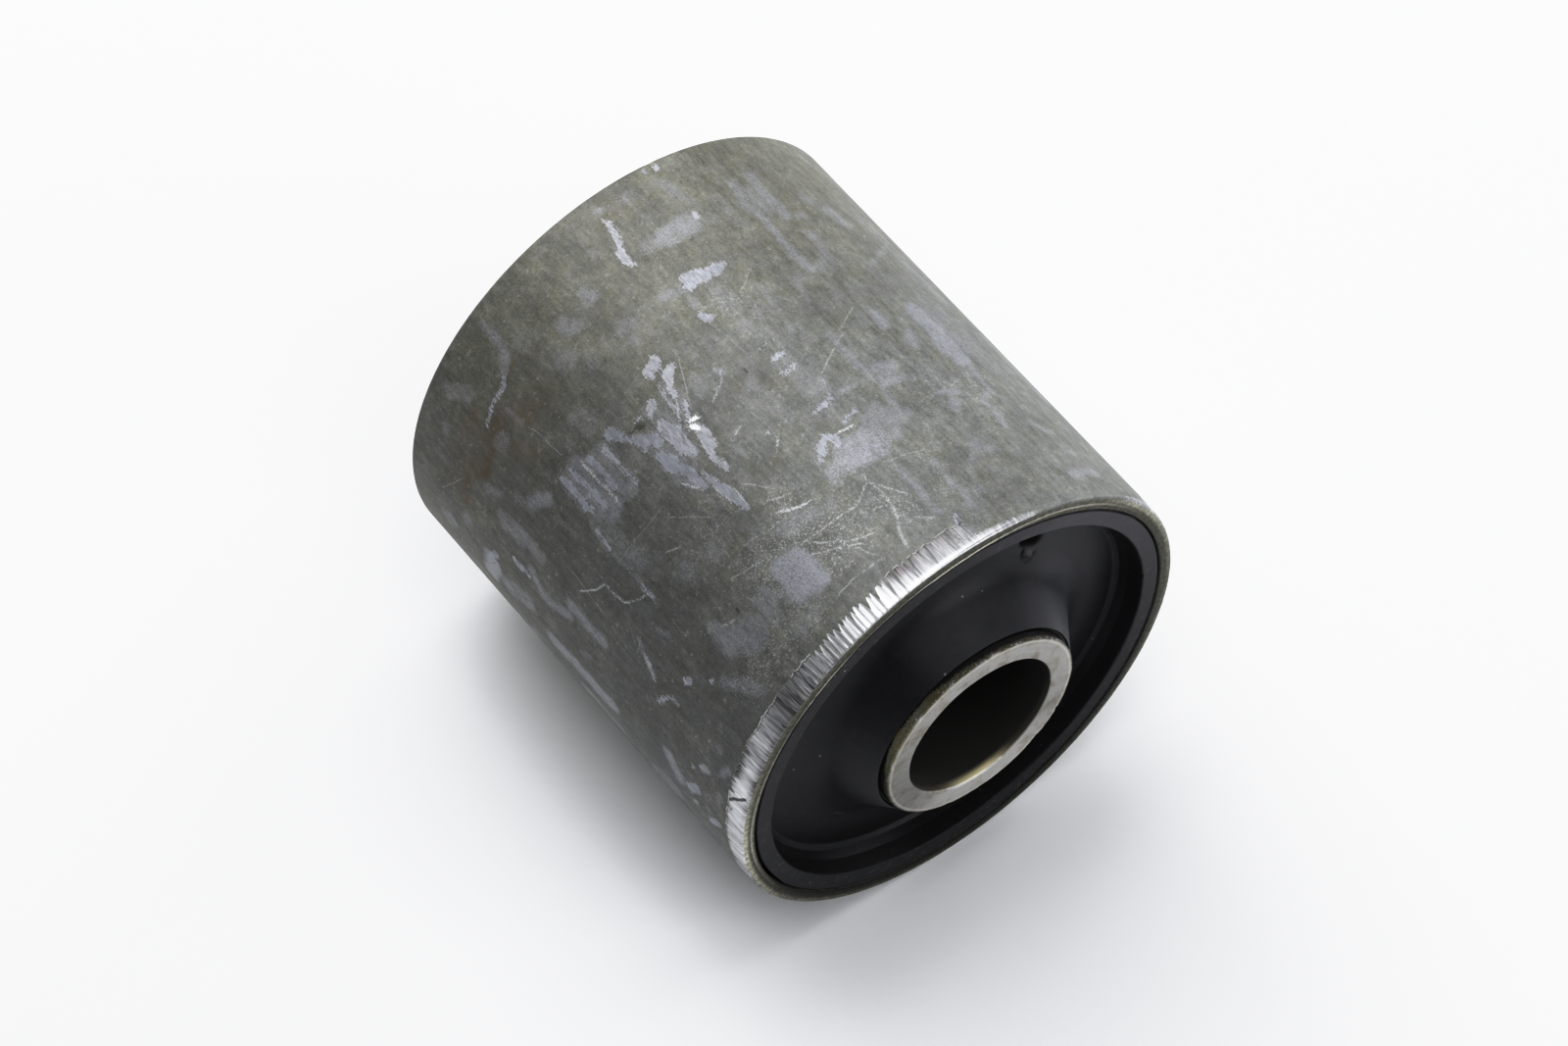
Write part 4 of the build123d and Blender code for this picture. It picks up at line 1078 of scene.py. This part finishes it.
haze, blot, rust, dark, dim, grit = (attribute(g, n) for n in ("haze", "blot", "rust", "dark", "dim", "grit"))
flaky = (grain - 0.5) * 2.2 + (streaky - 0.5) * 1.6 + (mottle - 0.5) * 1.0
haze_m = g.step(haze * (1.0 + flaky), 0.10, 1.02, smooth=False)
inside = attribute(g, "blot_edge") + (grain - 0.5) * 0.9 + (streaky - 0.5) * 0.7 + (fine - 0.5) * 0.25
brush = g.step((streaky - 0.5) * 1.5 + (mottle - 0.5) * 1.5 + (grain - 0.5) * 0.6, -0.32, 0.30, 0.55, 1.08, smooth=False)
blot_m = g.step(inside, -0.06, 0.14) * blot * brush
outline = g.step(inside, 0.0, 0.06) * g.step(inside, 0.26, 0.12) * blot * g.step(mottle, 0.40, 0.54)
smear_m = g.most(haze_m, blot_m)
line_m = None
for k in range(4):
    off = g.math("ABSOLUTE", attribute(g, f"line_{k}")) + (fine - 0.5) * 2.0
    m = g.step(off, 0.95, 0.25) * attribute(g, f"power_{k}")
    line_m = m if line_m is None else g.most(line_m, m)
line_m = line_m * g.most(g.step(grain + (other - 0.5) * 0.6, 0.34, 0.58), g.step(line_m, 1.2, 1.4))
rust_m = g.step(rust * (1.0 + (other - 0.5) * 3.2 + (grain - 0.5) * 2.4), 0.12, 1.0, smooth=False)
dark_m = g.step(dark + (fine - 0.5) * 0.6, 0.3, 0.7)
specks = g.step(g.cells(p, 1.1), 0.13, 0.05)
peppers = g.step(g.cells(g.vmath("ADD", p, (3.3, 9.1, 4.7)), 1.0), 0.15, 0.05)

lift = g.math("POWER", mottle * 2.0, 3.0)
pocks = g.math("POWER", grain * 2.0, 3.0)
flecks = g.step(g.cells(g.vmath("ADD", p, (5.1, 2.2, 8.8)), 0.95), 0.26, 0.12) * g.step(other + (grain - 0.5) * 0.8, 0.50, 0.60)
level = 0.22 + lift * 0.16 + pocks * 0.09 + (down - 0.5) * 0.75 + (fine - 0.5) * 0.35
base = g.mix(g.step(level, 0.0, 1.0, smooth=False), (0.090, 0.0905, 0.080), (0.405, 0.407, 0.385))
tinge = g.step(other, 0.36, 0.64, smooth=False)
base = g.mix(1.0, base, g.mix(tinge, (0.980, 0.990, 1.025), (1.005, 1.010, 0.950)), "MULTIPLY")
base = g.mix(1.0, base, g.mix(g.step(z, 32.0, 12.0), (0.995, 1.0, 1.02), (1.015, 1.005, 0.965)), "MULTIPLY")
# painted shade by angle, multiplied into the steel's colour
base = g.mix(attribute(g, "shade"), (0.0, 0.0, 0.0), base)
base = g.mix(dim * 0.34, base, (0.105, 0.105, 0.099))
base = g.mix(peppers * 0.35, base, (0.09, 0.087, 0.075))
base = g.mix(rust_m * 0.70, base, (0.145, 0.104, 0.060))
base = g.mix(flecks * 0.30, base, (0.46, 0.46, 0.455))
base = g.mix(g.step(grit + (mottle - 0.5) * 1.5, 0.1, 1.1) * g.step(grain, 0.54, 0.66) * 0.62, base, (0.54, 0.54, 0.53))
base = g.mix(haze_m * 0.92, base, (0.364, 0.371, 0.402))
base = g.mix(g.step(inside, -0.06, 0.14) * brush * 0.92, base, g.mix(g.step(blot + (streaky - 0.5) * 0.9, 0.55, 1.0), (0.330, 0.342, 0.380), (0.440, 0.445, 0.475)))
base = g.mix(outline * 0.30, base, (0.52, 0.525, 0.54))
base = g.mix(specks * 0.22, base, (0.60, 0.60, 0.59))
base = g.mix(line_m * 0.80, base, (0.60, 0.60, 0.62))
base = g.mix(g.step(line_m, 1.0, 1.3) * 0.9, base, (0.90, 0.90, 0.92))

# the filed band, its burr, the end face and its inner edge
outside = g.step(r, 24.5, 24.62)
border = attribute(g, "band_from")
band_metal_and_reflection = attribute(g, "band_metal_and_painted_reflection")
lean = g.xyz(arc + z * 0.05, z, 0.0)
file1 = g.noise(g.vmath("MULTIPLY", lean, (2.6, 0.16, 1.0)), 1.0, 3, 0.75)
file2 = g.noise(g.vmath("MULTIPLY", lean, (8.5, 0.45, 1.0)), 1.0, 2, 0.6)
cover = g.step(attribute(g, "band_cover") - grain * 0.55 - file1 * 0.45 + (mottle - 0.5) * 0.5, -0.09, 0.09)
filed = g.step(z - border + (file2 - 0.5) * 0.2, -0.03, 0.05) * outside * cover
file0 = g.noise(g.vmath("MULTIPLY", lean, (1.25, 0.12, 1.0)), 1.0, 2, 0.6)
cut = ((file1 - 0.5) * 1.5 + (file2 - 0.5) * 1.2 + (file0 - 0.5) * 0.9) * attribute(g, "band_cut")
# the filed metal's brightness: its own bare steel, with painted reflection and shade set by angle
bright = g.step(band_metal_and_reflection + cut * 0.80, 0.0, 1.0, smooth=False)
metal = g.mix(bright, (0.073, 0.071, 0.071), (0.80, 0.805, 0.82))
metal = g.mix(g.step(band_metal_and_reflection, 0.30, 0.20) * g.step(file1, 0.4, 0.7) * 0.4, metal, (0.20, 0.155, 0.16))
burr = g.step(g.math("ABSOLUTE", z - border + 0.06), 0.10, 0.03) * outside * g.step(g.noise(flat, 1.7, 2, 0.6), 0.36, 0.56)
# painted shade: a dark line just above the band's border, beside the burr, where a groove would be in shade
painted_groove_shade = g.step(g.math("ABSOLUTE", z - border - 0.07), 0.10, 0.03) * outside
band_burr = attribute(g, "band_burr")
colour = g.mix(filed, base, metal)
colour = g.mix(painted_groove_shade * band_burr * 0.55, colour, (0.06, 0.058, 0.055))
colour = g.mix(burr * band_burr * 0.75, colour, (0.70, 0.70, 0.69))
colour = g.mix(dark_m * 0.85, colour, (0.05, 0.048, 0.045))
face = g.step(z, 54.86, 54.97) * g.step(r, 24.82, 24.66)
face_col = g.mix(g.step(g.noise(p, 2.2, 3, 0.6), 0.35, 0.7), (0.110, 0.109, 0.088), (0.205, 0.202, 0.165))
# painted light and shade on the end face by angle, with a painted highlight along its outer edge
inward = g.blend(g.step(r, 24.6, 23.7, smooth=False), 1.0, attribute(g, "end_inner_painted_shade"))
inward = inward * g.blend(g.step(r, 24.1, 24.5), 1.0, attribute(g, "end_edge_painted_highlight"))
face_col = g.mix(attribute(g, "end_painted_light") * inward * 0.2, (0.0, 0.0, 0.0), g.mix(1.0, face_col, (4.0, 4.0, 4.0), "MULTIPLY"))
colour = g.mix(face, colour, face_col)
# painted highlight: a bright line along the end face's inner burr
rim = g.step(g.math("ABSOLUTE", r - attribute(g, "rim_at") + (grain - 0.5) * 0.25), 0.17, 0.07) * face * attribute(g, "rim")
rim = rim * g.step(g.noise(g.xyz(arc, 0.0, 0.0), 0.8, 3, 0.7), 0.30, 0.50)
colour = g.mix(rim * 0.9, colour, (0.68, 0.665, 0.60))

rough = g.blend(smear_m, 0.50, 0.44)
rough = g.blend(rust_m, rough, 0.66)
rough = g.blend(filed, rough, 0.36)
rough = rough + (grain - 0.5) * 0.12
metallic = g.blend(filed, 0.30, 0.75)
metallic = metallic * (1.0 - rust_m * 0.6)
height = (grain - 0.5) * 0.8 + (fine - 0.5) * 0.4 + (smear_m - line_m * 1.4) * 0.4
height = g.blend(filed, height, cut * 1.5)
normal = g.bump(height, 0.5, 0.00003)
outer_mat = g.finish(colour, rough, metallic, normal)
outer.data.materials.append(outer_mat)
print("outer_steel nodes", g.count)

g = Graph("rubber")
p, angle, arc, r, z = g.coords()
grain = g.noise(p, 5.0, 3, 0.6)
soft = g.noise(p, 0.35, 3, 0.55)
lip = g.step(r, 21.45, 21.7)
dust = g.step(g.cells(g.vmath("ADD", p, (1.7, 4.1, 8.3)), 0.55), 0.085, 0.03) * g.step(g.noise(p, 0.3, 1, 0.5), 0.42, 0.6)
chalk = g.step(g.noise(p, 1.3, 4, 0.65), 0.50, 0.78)
col = g.mix(soft, (0.022, 0.0222, 0.0246), (0.038, 0.0384, 0.0425))
# painted light and sheen in the recess, by angle and radius
col = g.mix(attribute(g, "recess_painted_light") * 0.25, (0.0, 0.0, 0.0), g.mix(1.0, col, (4.0, 4.0, 4.0), "MULTIPLY"))
col = g.mix(chalk * 0.30, col, (0.070, 0.070, 0.075))
# painted light and shade on the lip, by angle
col = g.mix(lip * 0.9, col, g.mix(attribute(g, "lip_painted_light"), (0.0, 0.0, 0.0), (1.0, 1.0, 1.06)))
col = g.mix(lip * chalk * 0.35, col, (0.16, 0.16, 0.165))
line = g.step(g.math("ABSOLUTE", r - 23.12 + (grain - 0.5) * 0.3), 0.14, 0.04) * attribute(g, "lip_line")
col = g.mix(line * g.step(chalk, 0.0, 0.3) * 0.6, col, (0.22, 0.215, 0.19))
col = g.mix(dust, col, (0.32, 0.32, 0.31))
gate = attribute(g, "gate")
# painted shade: the gate mark's pit darkened almost to black
col = g.mix(g.step(gate, 0.0, 0.8) * 0.88, col, (0.005, 0.005, 0.006))
col = g.mix(g.step(gate, 0.0, -0.8) * 0.6, col, (0.15, 0.15, 0.155))
rough = g.blend(lip, g.blend(soft, 0.36, 0.48), 0.66)
rough = g.blend(g.step(gate, 0.0, 0.8), rough, 0.85) + (grain - 0.5) * 0.10
normal = g.bump(grain + chalk * 0.3, 0.35, 0.00003)
rubber_mat = g.finish(col, rough, 0.0, normal)
rubber.data.materials.append(rubber_mat)

g = Graph("inner_steel")
p, angle, arc, r, z = g.coords()
mid = g.math("ABSOLUTE", z - 29.0)
end = g.step(mid, 28.72, 28.9)
turn = g.noise(g.xyz(r * 9.0, angle * 0.02, z * 2.0), 1.0, 2, 0.6)
grain = g.noise(p, 5.5, 3, 0.65)
stain = g.noise(p, 0.7, 3, 0.6)
col = g.mix(turn, (0.48, 0.475, 0.45), (0.70, 0.695, 0.68))
col = g.mix(g.step(stain, 0.42, 0.70) * 0.6, col, (0.44, 0.405, 0.335))
col = g.mix(g.step(grain + (stain - 0.5), 0.56, 0.72) * 0.35, col, (0.30, 0.27, 0.20))
# painted light and shade on the inner sleeve's end face, by angle
col = g.mix(attribute(g, "ring_painted_light"), (0.0, 0.0, 0.0), col)
outer_side = g.step(r, 10.45, 10.72)
rough_edge = outer_side * g.step(grain + (stain - 0.5) * 0.6, 0.30, 0.52)
brown = g.mix(attribute(g, "side_tone") * 0.7, (0.0, 0.0, 0.0), (0.32, 0.30, 0.175))
col = g.mix(g.step(r, 10.22, 10.36) * g.step(r, 10.62, 10.50) * end * 0.35, col, (0.80, 0.78, 0.70))
col = g.mix(rough_edge * 0.85, col, brown)
skin = g.step(mid - attribute(g, "skin_to") + (grain - 0.5) * 1.0 + (stain - 0.5) * 0.8, 0.10, -0.10) * g.step(r, 10.55, 10.68)
col = g.mix(skin * 0.96, col, (0.030, 0.030, 0.032))
bore = g.step(r, 8.75, 8.62) * g.step(mid, 28.92, 28.78)
# painted glint of a lamp just inside the bore's edge; deeper in, the bore is dark oxide
near = attribute(g, "bore_painted_glint") * g.step(mid, 28.05, 28.85)
col = g.mix(bore, col, g.mix(near, (0.085, 0.084, 0.080), (0.56, 0.52, 0.36)))
rough = g.blend(rough_edge, g.blend(turn, 0.34, 0.46), 0.75)
rough = g.blend(bore, rough, g.blend(near, 0.95, 0.50))
metallic = g.blend(g.most(rough_edge, skin, bore * (1.0 - near * 0.7)), 1.0, 0.1)
normal = g.bump(turn * 0.5 + grain * (0.4 + rough_edge * 1.2), 0.5, 0.00004)
inner_mat = g.finish(col, rough, metallic, normal)
inner.data.materials.append(inner_mat)

# ------------------------------------------------------------------ pieces and bodies
for piece, node, slot in (
    (outer, "outer_sleeve", "outer_steel"),
    (rubber, "rubber_body", "rubber"),
    (inner, "inner_sleeve", "inner_steel"),
):
    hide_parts(node)
    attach(piece, "root")
